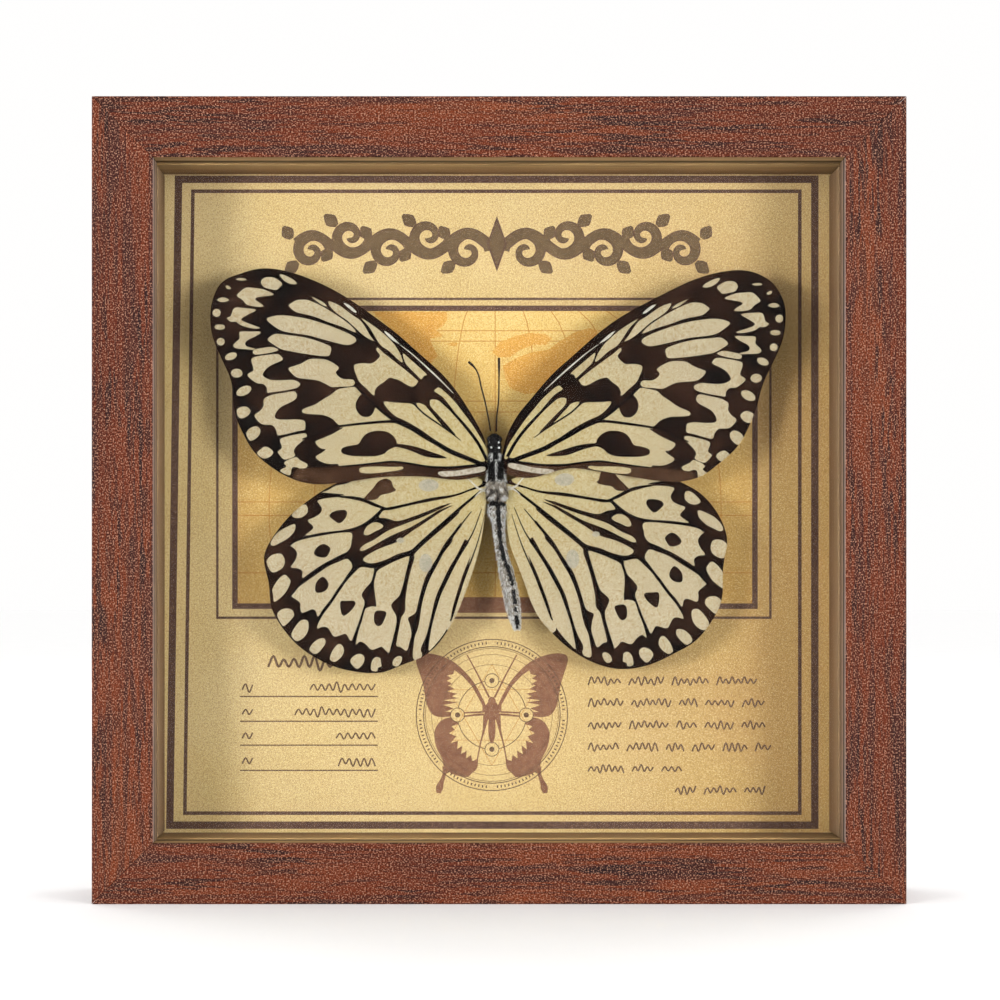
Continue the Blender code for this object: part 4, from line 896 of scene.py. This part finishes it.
class Surface:
    """A material with one Principled shader, whose inputs are built up node by node."""

    def __init__(self, name, **sockets):
        self.material = bpy.data.materials.new(name)
        self.material.use_nodes = True
        self.tree = self.material.node_tree
        self.shader = self.tree.nodes["Principled BSDF"]
        for socket, value in sockets.items():
            self.shader.inputs[socket.replace("_", " ")].default_value = value

    def add(self, kind, inputs, **settings):
        """A new node, with each input linked or set."""
        node = self.tree.nodes.new("ShaderNode" + kind)
        for key, value in settings.items():
            setattr(node, key, value)
        for key, value in inputs.items():
            if isinstance(value, bpy.types.NodeSocket):
                self.tree.links.new(value, node.inputs[key])
            else:
                node.inputs[key].default_value = value
        return node

    def position(self, stretch=(1, 1, 1), offset=(0, 0, 0)):
        """The place on the object in metres, times stretch, plus offset."""
        spot = self.add("TexCoord", {}).outputs["Object"]
        return self.add("Mapping", {"Vector": spot, "Scale": stretch, "Location": offset}).outputs[0]

    def noise(self, scale, detail=3, stretch=(1, 1, 1), distortion=0.0, offset=(0, 0, 0)):
        """Cloudy noise, mostly from 0.3 to 0.7, with about scale patches to a metre."""
        return self.add("TexNoise", {"Vector": self.position(stretch, offset), "Scale": scale,
                                     "Detail": detail, "Distortion": distortion}).outputs["Fac"]

    def ramp(self, factor, *stops):
        """Colours by factor: each stop is (position, colour)."""
        node = self.add("ValToRGB", {"Fac": factor})
        elements = node.color_ramp.elements
        while len(elements) < len(stops):
            elements.new(0.5)
        for element, (position, colour) in zip(elements, stops):
            element.position = position
            element.color = colour
        return node.outputs["Color"]

    def range(self, value, low, high, to_low=0.0, to_high=1.0):
        """The value carried from one range to another, and held at its ends."""
        return self.add("MapRange", {"Value": value, "From Min": low, "From Max": high,
                                     "To Min": to_low, "To Max": to_high}).outputs[0]

    def blend(self, factor, first, second, how="MIX"):
        """The first colour where the factor is 0, and the second laid on it where it is 1."""
        node = self.add("Mix", {0: factor, 6: first, 7: second}, data_type="RGBA", blend_type=how)
        return node.outputs[2]

    def math(self, how, first, second=0.0):
        """One step of arithmetic, such as a product or the larger of two values."""
        return self.add("Math", {0: first, 1: second}, operation=how).outputs[0]

    def axis(self, name):
        """The place on the object along X, Y or Z, in metres."""
        return self.add("SeparateXYZ", {"Vector": self.position()}).outputs[name]

    def shade(self, colour, height, distance, strength, roughness=None):
        """Links the colour, a bump from height, and the roughness where it varies."""
        self.tree.links.new(colour, self.shader.inputs["Base Color"])
        if roughness is not None:
            self.tree.links.new(roughness, self.shader.inputs["Roughness"])
        bump = self.add("Bump", {"Height": height, "Distance": distance, "Strength": strength})
        self.tree.links.new(bump.outputs[0], self.shader.inputs["Normal"])
        return self.material


def wood_wrap(name, along):
    """Dark reddish wood-grain wrap whose grain runs along one axis, flecked all over."""
    s = Surface(name, Roughness=0.6, Specular_IOR_Level=0.1)

    def stretch(length):
        return tuple(1 / length if axis == along else 1.0 for axis in "xyz")

    tone = s.noise(60, 3, stretch(6), 0.6)
    colour = s.ramp(tone, (0.3, rgb(98, 37, 17)), (0.5, rgb(119, 49, 22)), (0.7, rgb(140, 65, 30)))
    clumps = s.range(s.noise(210, 3, stretch(9), 0.4, (9, 4, 2)), 0.42, 0.58)
    streaks = s.noise(430, 4, stretch(15), 0.9, (3.1, 1.7, 0.4))
    streak = s.range(streaks, 0.52, 0.6)
    colour = s.blend(s.math("MULTIPLY", streak, 0.62), colour, rgb(54, 29, 30))
    pores = s.noise(1500, 2, stretch(13), 0.4, (0.7, 2.3, 5.1))
    depth = s.math("MULTIPLY", s.range(clumps, 0.0, 1.0, 0.4, 1.0), s.range(pores, 0.48, 0.58))
    pore = s.math("MULTIPLY", depth, 0.85)
    colour = s.blend(pore, colour, rgb(36, 18, 21))
    grains = s.noise(3400, 1, stretch(1.3))
    colour = s.blend(s.range(grains, 0.32, 0.48, 0.8, 0.0), colour, rgb(30, 12, 8))
    colour = s.blend(s.range(grains, 0.54, 0.66, 0.0, 0.8), colour, rgb(208, 154, 126))
    height = s.math("SUBTRACT", s.math("MULTIPLY", grains, 0.25), s.math("MAXIMUM", pore, streak))
    return s.shade(colour, height, 0.00006, 0.6)


LIP_DEPTH = 7.3
SPACER_FRONT, SPACER_BACK = 9.3, 21.7    # behind the rails' front face


def lip_side(name, bands):
    """The narrow faces round the opening, banded by depth with painted highlights and shadow lines: bands
    are (depth in mm, colour).
    """
    s = Surface(name, Roughness=0.5, Specular_IOR_Level=0.1)
    fibre = s.noise(900, 3, (0.1, 1, 0.1))
    depth = s.range(s.axis("Y"), FRONT_Y, FRONT_Y + LIP_DEPTH * MM)
    colour = s.ramp(depth, *[(start / LIP_DEPTH, rgb(*tint)) for start, tint in bands])
    colour = s.blend(s.range(fibre, 0.35, 0.65, 0.0, 0.3), colour, rgb(96, 70, 48))
    return s.shade(colour, fibre, 0.00003, 0.4)


def clear_pane():
    """Clear glass that lets the lights reach the box behind it."""
    s = Surface("clear_pane", Base_Color=(0.985, 0.99, 0.985, 1), Roughness=0.0, IOR=1.1,
                Transmission_Weight=1.0)
    clear = s.add("BsdfTransparent", {"Color": (0.98, 0.985, 0.98, 1)})
    shadow = s.add("LightPath", {}).outputs["Is Shadow Ray"]
    mix = s.add("MixShader", {0: shadow, 1: s.shader.outputs[0], 2: clear.outputs[0]})
    s.tree.links.new(mix.outputs[0], s.tree.nodes["Material Output"].inputs["Surface"])
    return s.material


def spacer_strip(name, front, back):
    """Gold-brown laminated strip with fine lines along it, from its front colour to its back one, which is
    painted shade deep in the box.
    """
    s = Surface(name, Roughness=0.5, Specular_IOR_Level=0.1)
    lines = s.noise(700, 4, (0.04, 1.6, 0.04))
    depth = s.range(s.axis("Y"), FRONT_Y + SPACER_FRONT * MM, FRONT_Y + SPACER_BACK * MM)
    # painted shade: the strip darkens towards the back of the box
    colour = s.ramp(depth, (0.0, rgb(*front)), (1.0, rgb(*back)))
    colour = s.blend(s.range(lines, 0.35, 0.7, 0.0, 0.5), colour, rgb(104, 74, 48))
    return s.shade(colour, s.noise(2500, 2), 0.00003, 0.4)


def flecks_and_painted_glints(s, colour):
    """Fine dark flecks, and bright flecks that are painted glints of the pearly sparkle, over a colour."""
    flecks = s.noise(3400, 2)
    colour = s.blend(s.range(flecks, 0.3, 0.5, 0.4, 0.0), colour, rgb(170, 134, 78), "MULTIPLY")
    return s.blend(s.range(flecks, 0.55, 0.72, 0.0, 0.5), colour, rgb(255, 236, 178))


def card_gold():
    """The champagne gold of the card, with painted light and shade: lighter low in the middle and along the
    top, deeper towards the right edge.
    """
    s = Surface("card_gold", Roughness=0.6, Specular_IOR_Level=0.12)
    x, z = s.axis("X"), s.axis("Z")
    # painted light and shade across the card: lighter at the left, and a darker, oranger painted shade
    # towards the right edge
    colour = s.ramp(s.range(x, -0.078, 0.078), (0.0, rgb(224, 196, 136)), (0.13, rgb(210, 184, 132)),
                    (0.5, rgb(210, 182, 128)), (0.85, rgb(182, 144, 88)), (1.0, rgb(214, 170, 104)))
    # painted light: the top of the card is made lighter
    colour = s.blend(s.range(z, 0.12, 0.165, 0.0, 0.7), colour, rgb(222, 195, 141))
    # a painted highlight low in the middle of the card
    low = s.range(z, 0.075, 0.02)
    middle = s.range(s.math("ABSOLUTE", x), 0.07, 0.0)
    painted_highlight = s.math("MULTIPLY", s.math("MULTIPLY", low, middle), 0.6)
    colour = s.blend(painted_highlight, colour, rgb(230, 200, 138))
    cloud = s.range(s.noise(42, 3), 0.35, 0.65, 0.0, 0.4)
    colour = s.blend(cloud, colour, rgb(200, 168, 100))
    # the bright flecks are painted glints
    return s.shade(flecks_and_painted_glints(s, colour), s.noise(2600, 2), 0.00003, 0.35)


def printed(name, colour, paler, show=0.25):
    """Brown ink on the card, through which its flecks show a little."""
    s = Surface(name, Roughness=0.6, Specular_IOR_Level=0.1)
    ink = s.blend(s.range(s.noise(900, 3), 0.35, 0.7), rgb(*colour), rgb(*paler))
    ink = s.blend(s.range(s.noise(2600, 2), 0.5, 0.75, 0.0, show), ink, rgb(196, 160, 110))
    return s.shade(ink, s.noise(2600, 2), 0.00002, 0.3)


def map_field(name, deep, middle, pale):
    """The old map's printed gold, clouded like stained paper, duller to the sides."""
    s = Surface(name, Roughness=0.6, Specular_IOR_Level=0.1)
    cloud = s.noise(26, 3, distortion=0.5)
    colour = s.ramp(cloud, (0.3, rgb(*deep)), (0.5, rgb(*middle)), (0.72, rgb(*pale)))
    colour = s.blend(s.range(s.axis("Z"), 0.1, 0.134, 0.0, 0.3), colour, rgb(*pale))
    side = s.range(s.math("ABSOLUTE", s.axis("X")), 0.03, 0.06, 0.0, 0.65)
    colour = s.blend(side, colour, rgb(190, 150, 86))
    # the bright flecks are painted glints
    return s.shade(flecks_and_painted_glints(s, colour), s.noise(2600, 2), 0.00003, 0.35)


def wing_cream():
    """Cream wing scales: yellower near the body, with a fine grain and a little brown dust."""
    s = Surface("wing_cream", Roughness=0.8, Specular_IOR_Level=0.08)
    centre = (-BUTTERFLY_X, 0.0, -BUTTERFLY_Z)
    reach = s.add("VectorMath", {0: s.position((1, 0, 1), centre)}, operation="LENGTH").outputs["Value"]
    colour = s.ramp(s.range(reach, 0.004, 0.06), (0.0, rgb(180, 165, 117)), (0.45, rgb(177, 163, 126)),
                    (0.8, rgb(176, 163, 134)))
    rear = s.range(s.axis("Z"), BUTTERFLY_Z - 0.012, BUTTERFLY_Z - 0.034)
    colour = s.blend(s.math("MULTIPLY", rear, 0.7), colour, rgb(186, 172, 142))
    scales = s.noise(2600, 2)
    colour = s.blend(s.range(scales, 0.32, 0.5, 0.7, 0.0), colour, rgb(224, 200, 160, 1.0), "MULTIPLY")
    colour = s.blend(s.range(scales, 0.56, 0.7, 0.0, 0.4), colour, rgb(208, 196, 164))
    dust = s.range(s.noise(1400, 4, offset=(2, 1, 3)), 0.66, 0.74, 0.0, 0.5)
    colour = s.blend(dust, colour, rgb(128, 108, 74))
    return s.shade(colour, scales, 0.00008, 0.5)


def dark_scales(name, deep, warm, pale):
    """Dark wing scales, some browner and some almost black."""
    s = Surface(name, Roughness=0.9, Specular_IOR_Level=0.03)
    cloud = s.noise(130, 4, distortion=0.4)
    colour = s.ramp(cloud, (0.36, rgb(*deep)), (0.55, rgb(*warm)), (0.75, rgb(*pale)))
    scales = s.noise(2600, 2)
    colour = s.blend(s.range(scales, 0.35, 0.55, 0.6, 0.0), colour, rgb(8, 4, 5))
    return s.shade(colour, scales, 0.00006, 0.4)


def pale_scales(name, low, high):
    """Pale wing scales whose tint is mottled between two colours."""
    s = Surface(name, Roughness=0.8, Specular_IOR_Level=0.08)
    scales = s.noise(1600, 4)
    colour = s.ramp(scales, (0.35, rgb(*low)), (0.62, rgb(*high)))
    return s.shade(colour, s.noise(3600, 2), 0.00008, 0.5)


def hair(name, root, tip):
    """Body hair, its tone varying from tuft to tuft."""
    s = Surface(name, Roughness=0.7, Specular_IOR_Level=0.1)
    colour = s.ramp(s.noise(900, 4), (0.3, rgb(*root)), (0.7, rgb(*tip)))
    return s.shade(colour, s.noise(5000, 2), 0.00003, 0.3)


def horn(name, low, high, roughness):
    """Hard black-brown cuticle."""
    s = Surface(name, Roughness=roughness, Specular_IOR_Level=0.15)
    rings = s.noise(2200, 3, (0.4, 0.4, 1.6))
    colour = s.ramp(rings, (0.35, rgb(*low)), (0.7, rgb(*high)))
    return s.shade(colour, rings, 0.00005, 0.5)


def fibreboard():
    """Bare brown fibreboard: pressed fibres in every direction."""
    s = Surface("fibreboard", Roughness=0.85, Specular_IOR_Level=0.15)
    fibres = s.noise(900, 6, (1, 1, 0.3), 1.5)
    colour = s.ramp(fibres, (0.3, rgb(150, 112, 78)), (0.5, rgb(186, 145, 103)),
                    (0.72, rgb(214, 177, 132)))
    specks = s.range(s.noise(420, 4, offset=(5, 1, 2)), 0.62, 0.68, 0.0, 0.6)
    colour = s.blend(specks, colour, rgb(82, 56, 38))
    return s.shade(colour, fibres, 0.00012, 0.6)


def zinc_steel():
    """Zinc-plated steel, brushed along its length."""
    s = Surface("zinc_steel", Metallic=1.0, Roughness=0.35)
    brushed = s.noise(1500, 4, (0.06, 1, 1))
    colour = s.ramp(brushed, (0.3, rgb(140, 141, 143)), (0.7, rgb(176, 176, 175)))
    return s.shade(colour, brushed, 0.00003, 0.5, s.range(brushed, 0.3, 0.7, 0.25, 0.48))


def foam():
    """Closed-cell white foam."""
    s = Surface("foam", Roughness=0.9, Specular_IOR_Level=0.2)
    cells = s.add("TexVoronoi", {"Vector": s.position(), "Scale": 1400.0}).outputs["Distance"]
    colour = s.ramp(cells, (0.05, rgb(250, 248, 243)), (0.6, rgb(222, 219, 211)))
    return s.shade(colour, cells, 0.0001, 0.6)


def studio_floor():
    """The plain pale floor."""
    s = Surface("studio_floor", Roughness=0.9, Specular_IOR_Level=0.1)
    colour = s.blend(s.range(s.noise(30, 3), 0.3, 0.7), rgb(253, 253, 253, 1.0), rgb(255, 255, 255, 1.0))
    return s.shade(colour, s.noise(400, 2), 0.0001, 0.1)


def remembered(maker, *values):
    """A function that makes the material once and then gives the same one."""
    made = []

    def give():
        if not made:
            made.append(maker(*values))
        return made[0]

    return give


MATERIALS = {
    "card": remembered(card_gold),
    "ink": remembered(printed, "ink_heavy", (84, 58, 50), (100, 74, 63)),
    "print": remembered(printed, "ink_fine", (92, 66, 50), (116, 90, 68), 0.15),
    "title": remembered(printed, "ink_title", (94, 75, 52), (108, 88, 63)),
    "emblem": remembered(printed, "ink_emblem", (121, 82, 61), (142, 100, 76)),
    "map": remembered(map_field, "map_field", (204, 160, 80), (218, 178, 98), (230, 198, 126)),
    "map_land": remembered(map_field, "map_land", (200, 140, 54), (210, 152, 64), (222, 170, 84)),
    "map_line": remembered(printed, "ink_map", (176, 118, 44), (192, 138, 62), 0.4),
    "wing_cream": remembered(wing_cream),
    "wing_dark": remembered(dark_scales, "wing_dark", (14, 8, 6), (38, 22, 14), (58, 37, 26)),
    "wing_vein": remembered(dark_scales, "wing_vein", (5, 3, 3), (14, 8, 7), (28, 17, 13)),
    "wing_brown": remembered(dark_scales, "wing_brown", (48, 30, 20), (70, 46, 31), (102, 76, 56)),
    "wing_white": remembered(pale_scales, "wing_white", (176, 171, 158), (208, 204, 192)),
    "wing_pale": remembered(pale_scales, "wing_pale", (148, 137, 118), (190, 181, 163)),
    "wing_grey": remembered(pale_scales, "wing_grey", (154, 147, 128), (172, 164, 145)),
    "horn": remembered(horn, "horn", (16, 3, 2), (44, 11, 7), 0.7),
    "eye": remembered(horn, "eye", (10, 8, 9), (34, 24, 22), 0.22),
    "black_skin": remembered(horn, "black_skin", (6, 5, 6), (20, 16, 16), 0.7),
    "grey_skin": remembered(hair, "grey_skin", (108, 101, 91), (150, 142, 130)),
    "hair_white": remembered(hair, "hair_white", (244, 243, 239), (255, 254, 251)),
    "hair_grey": remembered(hair, "hair_grey", (150, 136, 120), (196, 184, 167)),
    "hair_black": remembered(hair, "hair_black", (6, 5, 6), (22, 17, 17)),
}


# ---------------------------------------------------------------- body

# stations: x, z, half width, half depth, how far behind the wing plane
HEAD = [
    (-0.2, 2.6, 0.5, 0.6, 0.2), (-0.2, 3.1, 1.25, 1.3, 0.1), (-0.2, 4.4, 1.45, 1.5, 0.0),
    (-0.2, 5.8, 1.35, 1.4, -0.1), (-0.2, 6.8, 1.0, 1.0, -0.1), (-0.2, 7.4, 0.4, 0.4, -0.1),
]
THORAX = [
    (-0.1, 3.3, 0.6, 0.6, 0.2), (-0.1, 2.8, 1.3, 1.5, 0.2), (0.0, 1.4, 1.6, 2.1, 0.3),
    (0.1, -0.6, 1.75, 2.4, 0.4), (0.2, -2.6, 1.9, 2.5, 0.4), (0.3, -5.2, 2.3, 2.5, 0.4),
    (0.4, -6.9, 2.2, 2.1, 0.5), (0.4, -7.7, 1.0, 1.0, 0.6),
]
ABDOMEN = [
    (0.4, -7.7, 1.0, 0.8, 0.8), (0.4, -8.5, 1.9, 1.5, 0.8), (0.42, -10.2, 2.05, 1.7, 0.8),
    (0.75, -12.6, 1.3, 1.45, 1.0), (0.9, -15.6, 1.15, 1.4, 1.2), (1.35, -18.8, 1.2, 1.5, 1.4),
    (2.5, -23.5, 1.6, 1.7, 1.6), (3.4, -28.0, 1.7, 1.6, 1.7), (4.0, -31.5, 1.6, 1.5, 1.7),
    (4.5, -34.2, 1.2, 1.2, 1.7), (4.9, -36.2, 0.7, 0.7, 1.7), (5.0, -36.9, 0.25, 0.25, 1.7),
]
HEAD_X = -0.2
EYE_X, EYE_Z, EYE_RADIUS = 0.95, 6.1, 0.8
HEAD_DOTS = [(-0.9, -1.2, 4.2), (0.75, -1.2, 4.1), (0.65, -1.1, 5.3), (-1.15, -0.8, 5.4)]
DOT_RADIUS = 0.26
# the abdomen's dark middle stripe: how far down it is, and where
STRIPE_DOWN = [9, 12.5, 17.2, 20.4, 23.5, 26.7, 29.9, 37]
STRIPE_X = [0.4, 0.7, 1.1, 1.8, 2.9, 3.7, 4.2, 5.2]


def along(stations, share):
    """The station at a share of the way along, blended between its neighbours."""
    station = share * (len(stations) - 1)
    index = min(int(station), len(stations) - 2)
    t = station - index
    t = t * t * (3 - 2 * t) * 0.5 + t * 0.5
    return [a + (b - a) * t for a, b in zip(stations[index], stations[index + 1])]


def skin(stations, tone, bands=0, rings=60, sides=36, rough=0.06):
    """Corners, faces and face materials of a rounded body part with a slightly uneven skin."""
    corners, faces, colours = [], [], []
    for i in range(rings):
        share = i / (rings - 1)
        x, z, half_width, half_depth, behind = along(stations, share)
        groove = 1 - (0.1 * max(0, math.cos(share * bands * 2 * math.pi)) ** 8 if bands else 0)
        for j in range(sides):
            angle = 2 * math.pi * j / sides
            spot = (x + half_width * math.cos(angle) * 2, math.sin(angle) * 3, z * 2)
            lump = rough * noise.noise(Vector(spot))
            corners.append((x + (half_width * groove + lump) * math.cos(angle),
                            behind + (half_depth * groove + lump) * math.sin(angle), z))
    for i in range(rings - 1):
        for j in range(sides):
            k = (j + 1) % sides
            faces.append((i * sides + j, i * sides + k, (i + 1) * sides + k, (i + 1) * sides + j))
            colours.append(tone(corners[i * sides + j]))
    faces.append(tuple(range(sides))[::-1])
    faces.append(tuple(range((rings - 1) * sides, rings * sides)))
    colours += [tone(corners[0]), tone(corners[-1])]
    return corners, faces, colours


def ball(x, y, z, radius, colour, rows=14, sides=24):
    """Corners, faces and face materials of an eye or a hair dot."""
    corners, faces = [], []
    for i in range(rows + 1):
        rise = math.pi * (i + 0.02) / (rows + 0.04)
        for j in range(sides):
            angle = 2 * math.pi * j / sides
            corners.append((x + radius * math.sin(rise) * math.cos(angle),
                            y + radius * math.sin(rise) * math.sin(angle), z + radius * math.cos(rise)))
    for i in range(rows):
        for j in range(sides):
            k = (j + 1) % sides
            faces.append((i * sides + j, (i + 1) * sides + j, (i + 1) * sides + k, i * sides + k))
    faces.append(tuple(range(sides)))
    faces.append(tuple(range(rows * sides, (rows + 1) * sides))[::-1])
    return corners, faces, [colour] * len(faces)


def join(*pieces):
    """Several (corners, faces, materials) as one."""
    corners, faces, colours = [], [], []
    for more, sides, tones in pieces:
        first = len(corners)
        corners += more
        faces += [tuple(first + i for i in face) for face in sides]
        colours += tones
    return corners, faces, colours


def strand(root, out, length, radius, sag):
    """One hair: a bent three-sided spike."""
    out = Vector(out).normalized()
    aside = out.cross(Vector((0.3, 0.5, 0.8))).normalized()
    other = out.cross(aside)
    root = Vector(root)
    bend = root + out * length * 0.55
    tip = root + out * length + Vector(sag) * length * 0.35
    corners = []
    for centre, size in ((root, radius), (bend, radius * 0.7)):
        for j in range(3):
            angle = 2 * math.pi * j / 3
            corners.append(tuple(centre + (aside * math.cos(angle) + other * math.sin(angle)) * size))
    corners.append(tuple(tip))
    faces = [(0, 1, 4, 3), (1, 2, 5, 4), (2, 0, 3, 5), (3, 4, 6), (4, 5, 6), (5, 3, 6)]
    return corners, faces


def down(stations, tone, chooser, count, length, radius, lean):
    """Hairs that cover a body part, leaning along it."""
    corners, faces, colours = [], [], []
    for _ in range(count):
        x, z, half_width, half_depth, behind = along(stations, chooser.uniform(0.02, 0.98))
        angle = chooser.uniform(0, 2 * math.pi)
        outward = Vector((math.cos(angle), math.sin(angle), 0))
        root = (x + half_width * 0.96 * outward.x, behind + half_depth * 0.96 * outward.y, z)
        spread = Vector([chooser.gauss(0, 0.25) for _ in range(3)])
        more, sides = strand(root, outward * 0.55 + Vector((0, 0, lean)) + spread,
                             length * chooser.uniform(0.6, 1.25), radius, (0, 0.2, -0.6))
        first = len(corners)
        corners += more
        faces += [tuple(first + i for i in face) for face in sides]
        colours += [tone(root)] * len(sides)
    return corners, faces, colours


def abdomen_tone(spot):
    """Grey skin with a broken dark stripe down the middle of the front, and a dark collar."""
    x, y, z = spot
    broken = noise.noise(Vector((x * 0.4, 0, z * 1.1)))
    collar = z > -8.9 and abs(x - 0.4) < 1.7
    gap = z < -26 and broken > 0.22
    stripe = abs(x - float(np.interp(-z, STRIPE_DOWN, STRIPE_X))) < 0.45 + 0.3 * broken and not gap
    return "black_skin" if y < 1.2 and (collar or stripe) else "grey_skin"


def abdomen_hair(spot):
    """Black hair on the dark skin, and white with grey patches on the rest."""
    if abdomen_tone(spot) == "black_skin":
        return "hair_black"
    return "hair_white" if noise.noise(Vector(spot) * 1.5) > -0.2 else "hair_grey"


def thorax_tone(spot):
    """Black skin in front and grey skin behind."""
    return "black_skin" if spot[2] > -3.2 else "grey_skin"


def thorax_hair(spot):
    """Black in front with white lines and flanks, and a patchwork of all three tones behind."""
    x, _, z = spot
    if z > -3.0 + 0.6 * noise.noise(Vector(spot)):
        central = abs(x - 0.1) < 0.2 and z < 1.6
        collar = z > 1.3 and abs(abs(x) - 0.75) < 0.22
        flank = abs(x - 0.1) > 1.55 and z < -0.5
        return "hair_white" if central or collar or flank else "hair_black"
    patch = noise.noise(Vector(spot) * 0.9)
    return "hair_black" if patch < -0.22 else "hair_white" if patch > 0.1 else "hair_grey"


def make_body():
    """The head with its eyes and white dots, the thorax and the abdomen, each with its down."""
    chooser = random.Random(11)
    eyes = [ball(HEAD_X + side * EYE_X, -0.1, EYE_Z, EYE_RADIUS, "eye") for side in (-1, 1)]
    dots = [ball(*dot, DOT_RADIUS, "hair_white", rows=6, sides=10) for dot in HEAD_DOTS]
    head = join(skin(HEAD, lambda spot: "black_skin"), *eyes, *dots,
                down(HEAD, lambda spot: "hair_black", chooser, count=1300, length=0.5, radius=0.035,
                     lean=-0.3))
    place(make_object("downy_head", *head), BUTTERFLY_AT, "head")
    thorax = join(skin(THORAX, thorax_tone, rough=0.2),
                  down(THORAX, thorax_hair, chooser, count=5200, length=0.8, radius=0.045, lean=-0.55))
    place(make_object("downy_thorax", *thorax), BUTTERFLY_AT, "thorax")
    abdomen = join(skin(ABDOMEN, abdomen_tone, bands=8, rings=110, rough=0.12),
                   down(ABDOMEN, abdomen_hair, chooser, count=7000, length=0.62, radius=0.04, lean=-0.75))
    place(make_object("downy_abdomen", *abdomen), BUTTERFLY_AT, "abdomen")


# ---------------------------------------------------------------- the carried-over CAD pieces

def finish_node(name, *materials):
    """Gives a CAD piece its material, in place of the plain one it came with."""
    mesh = nodes[name].data
    mesh.materials.clear()
    for material in materials:
        mesh.materials.append(material)


# the bands across the lip's narrow inner faces, with painted highlights along its edges and painted shadow
# lines between them: depth in millimetres, colour
SIDE_HIGHLIGHT_AND_SHADOW_BANDS = [
    (0.0, (255, 228, 216)), (0.9, (240, 206, 192)), (1.3, (36, 20, 18)), (2.6, (36, 20, 18)),
    (3.0, (234, 202, 184)), (4.2, (190, 160, 136)), (7.0, (142, 110, 78)),
]
TOP_HIGHLIGHT_AND_SHADOW_BANDS = [
    (0.0, (60, 26, 12)), (0.5, (196, 154, 104)), (3.6, (238, 198, 144)), (4.4, (104, 74, 40)),
    (6.2, (92, 66, 36)), (6.8, (220, 182, 130)),
]


def finish_rails():
    """Grain along each rail, and the lip's narrow inner face in its own tones, banded with painted
    highlights and shadow lines.
    """
    across, upright = wood_wrap("wood_across", "x"), wood_wrap("wood_upright", "z")
    side, top = lip_side("lip_side", SIDE_HIGHLIGHT_AND_SHADOW_BANDS), lip_side("lip_top", TOP_HIGHLIGHT_AND_SHADOW_BANDS)
    middle = (CARD_LOW + CARD_HIGH) / 2
    for name in ("rail_top", "rail_bottom", "rail_left", "rail_right"):
        axis = 0 if name in ("rail_left", "rail_right") else 2
        finish_node(name, *((upright, side) if axis == 0 else (across, top)))
        for face in nodes[name].data.polygons:
            inward = (middle[axis] - face.center[axis]) * face.normal[axis] > 0
            face.material_index = 1 if abs(face.normal[axis]) > 0.95 and inward else 0


def finish_cad():
    """Materials for every CAD piece that is shown as it is."""
    finish_rails()
    finish_node("glass_pane", clear_pane())
    # painted light: the flat strips are coloured lighter than the side strips, which are the same laminate
    side_strip = spacer_strip("spacer_side", (178, 148, 114), (122, 84, 50))
    flat_strip = spacer_strip("spacer_flat", (216, 178, 124), (152, 108, 68))
    steel = zinc_steel()
    for name in nodes:
        if name.startswith("spacer_"):
            finish_node(name, side_strip if name.endswith(("_left", "_right")) else flat_strip)
        if name.startswith(("point_", "hanger_", "sawtooth_")):
            finish_node(name, steel)
        if name.startswith("antenna_"):
            finish_node(name, MATERIALS["horn"]())
    finish_node("backing_board", fibreboard())
    finish_node("mounting_pad", foam())


# ---------------------------------------------------------------- studio

FRAME_MIDDLE = (0, 0, 0.09)


def make_floor():
    half = 6.0
    corners = [(-half, -half, 0), (half, -half, 0), (half, half, 0), (-half, half, 0)]
    mesh = bpy.data.meshes.new("floor")
    mesh.from_pydata(corners, [], [(0, 1, 2, 3)])
    mesh.materials.append(studio_floor())
    floor = bpy.data.objects.new("floor", mesh)
    bpy.context.scene.collection.objects.link(floor)


def make_light(name, spot, size, power):
    """A round area light that is aimed at the frame."""
    lamp = bpy.data.lights.new(name, "AREA")
    lamp.shape = "DISK"
    lamp.size = size
    lamp.energy = power
    made = bpy.data.objects.new(name, lamp)
    made.location = spot
    made.visible_camera = False
    made.rotation_euler = (Vector(FRAME_MIDDLE) - Vector(spot)).to_track_quat("-Z", "Y").to_euler()
    bpy.context.scene.collection.objects.link(made)


def make_studio():
    """An even pale world, the floor, and a pair of lights before and behind the frame."""
    scene = bpy.context.scene
    scene.view_settings.view_transform = "Standard"
    world = bpy.data.worlds.new("studio")
    world.use_nodes = True
    world.node_tree.nodes["Background"].inputs["Color"].default_value = (1.0, 0.995, 0.99, 1)
    world.node_tree.nodes["Background"].inputs["Strength"].default_value = 1.0
    scene.world = world
    make_floor()
    for side in (-1, 1):
        make_light("softbox", (side * 0.75, -0.85, 0.13), size=0.35, power=9.0)
        make_light("rear_softbox", (side * 0.9, 0.9, 0.35), size=0.6, power=3.5)


def make_camera():
    """In front of the frame, a little left of its middle and below it, with the lens square on."""
    camera = bpy.data.cameras.new("camera")
    camera.lens = 84
    camera.sensor_width = 36
    camera.shift_x, camera.shift_y = 0.057, 0.085
    made = bpy.data.objects.new("camera", camera)
    made.location = (-0.0124, -0.530, 0.0705)
    made.rotation_euler = (math.radians(90), 0, 0)
    bpy.context.scene.collection.objects.link(made)
    bpy.context.scene.camera = made


finish_cad()
make_card()
for side, outline, fit in (("left", FOREWING_LEFT, None), ("right", FOREWING_RIGHT, RIGHT_FOREWING_FIT)):
    make_wing("forewing_" + side, outline, fit, 0.0, FOREWING_CREAM, FOREWING_VEINS, forewing_groups())
for side, outline, fit in (("left", HINDWING_LEFT, None), ("right", HINDWING_RIGHT, RIGHT_HINDWING_FIT)):
    make_wing("hindwing_" + side, outline, fit, HINDWING_BEHIND, HINDWING_CREAM, HINDWING_VEINS,
              hindwing_groups())
make_body()
make_studio()
make_camera()
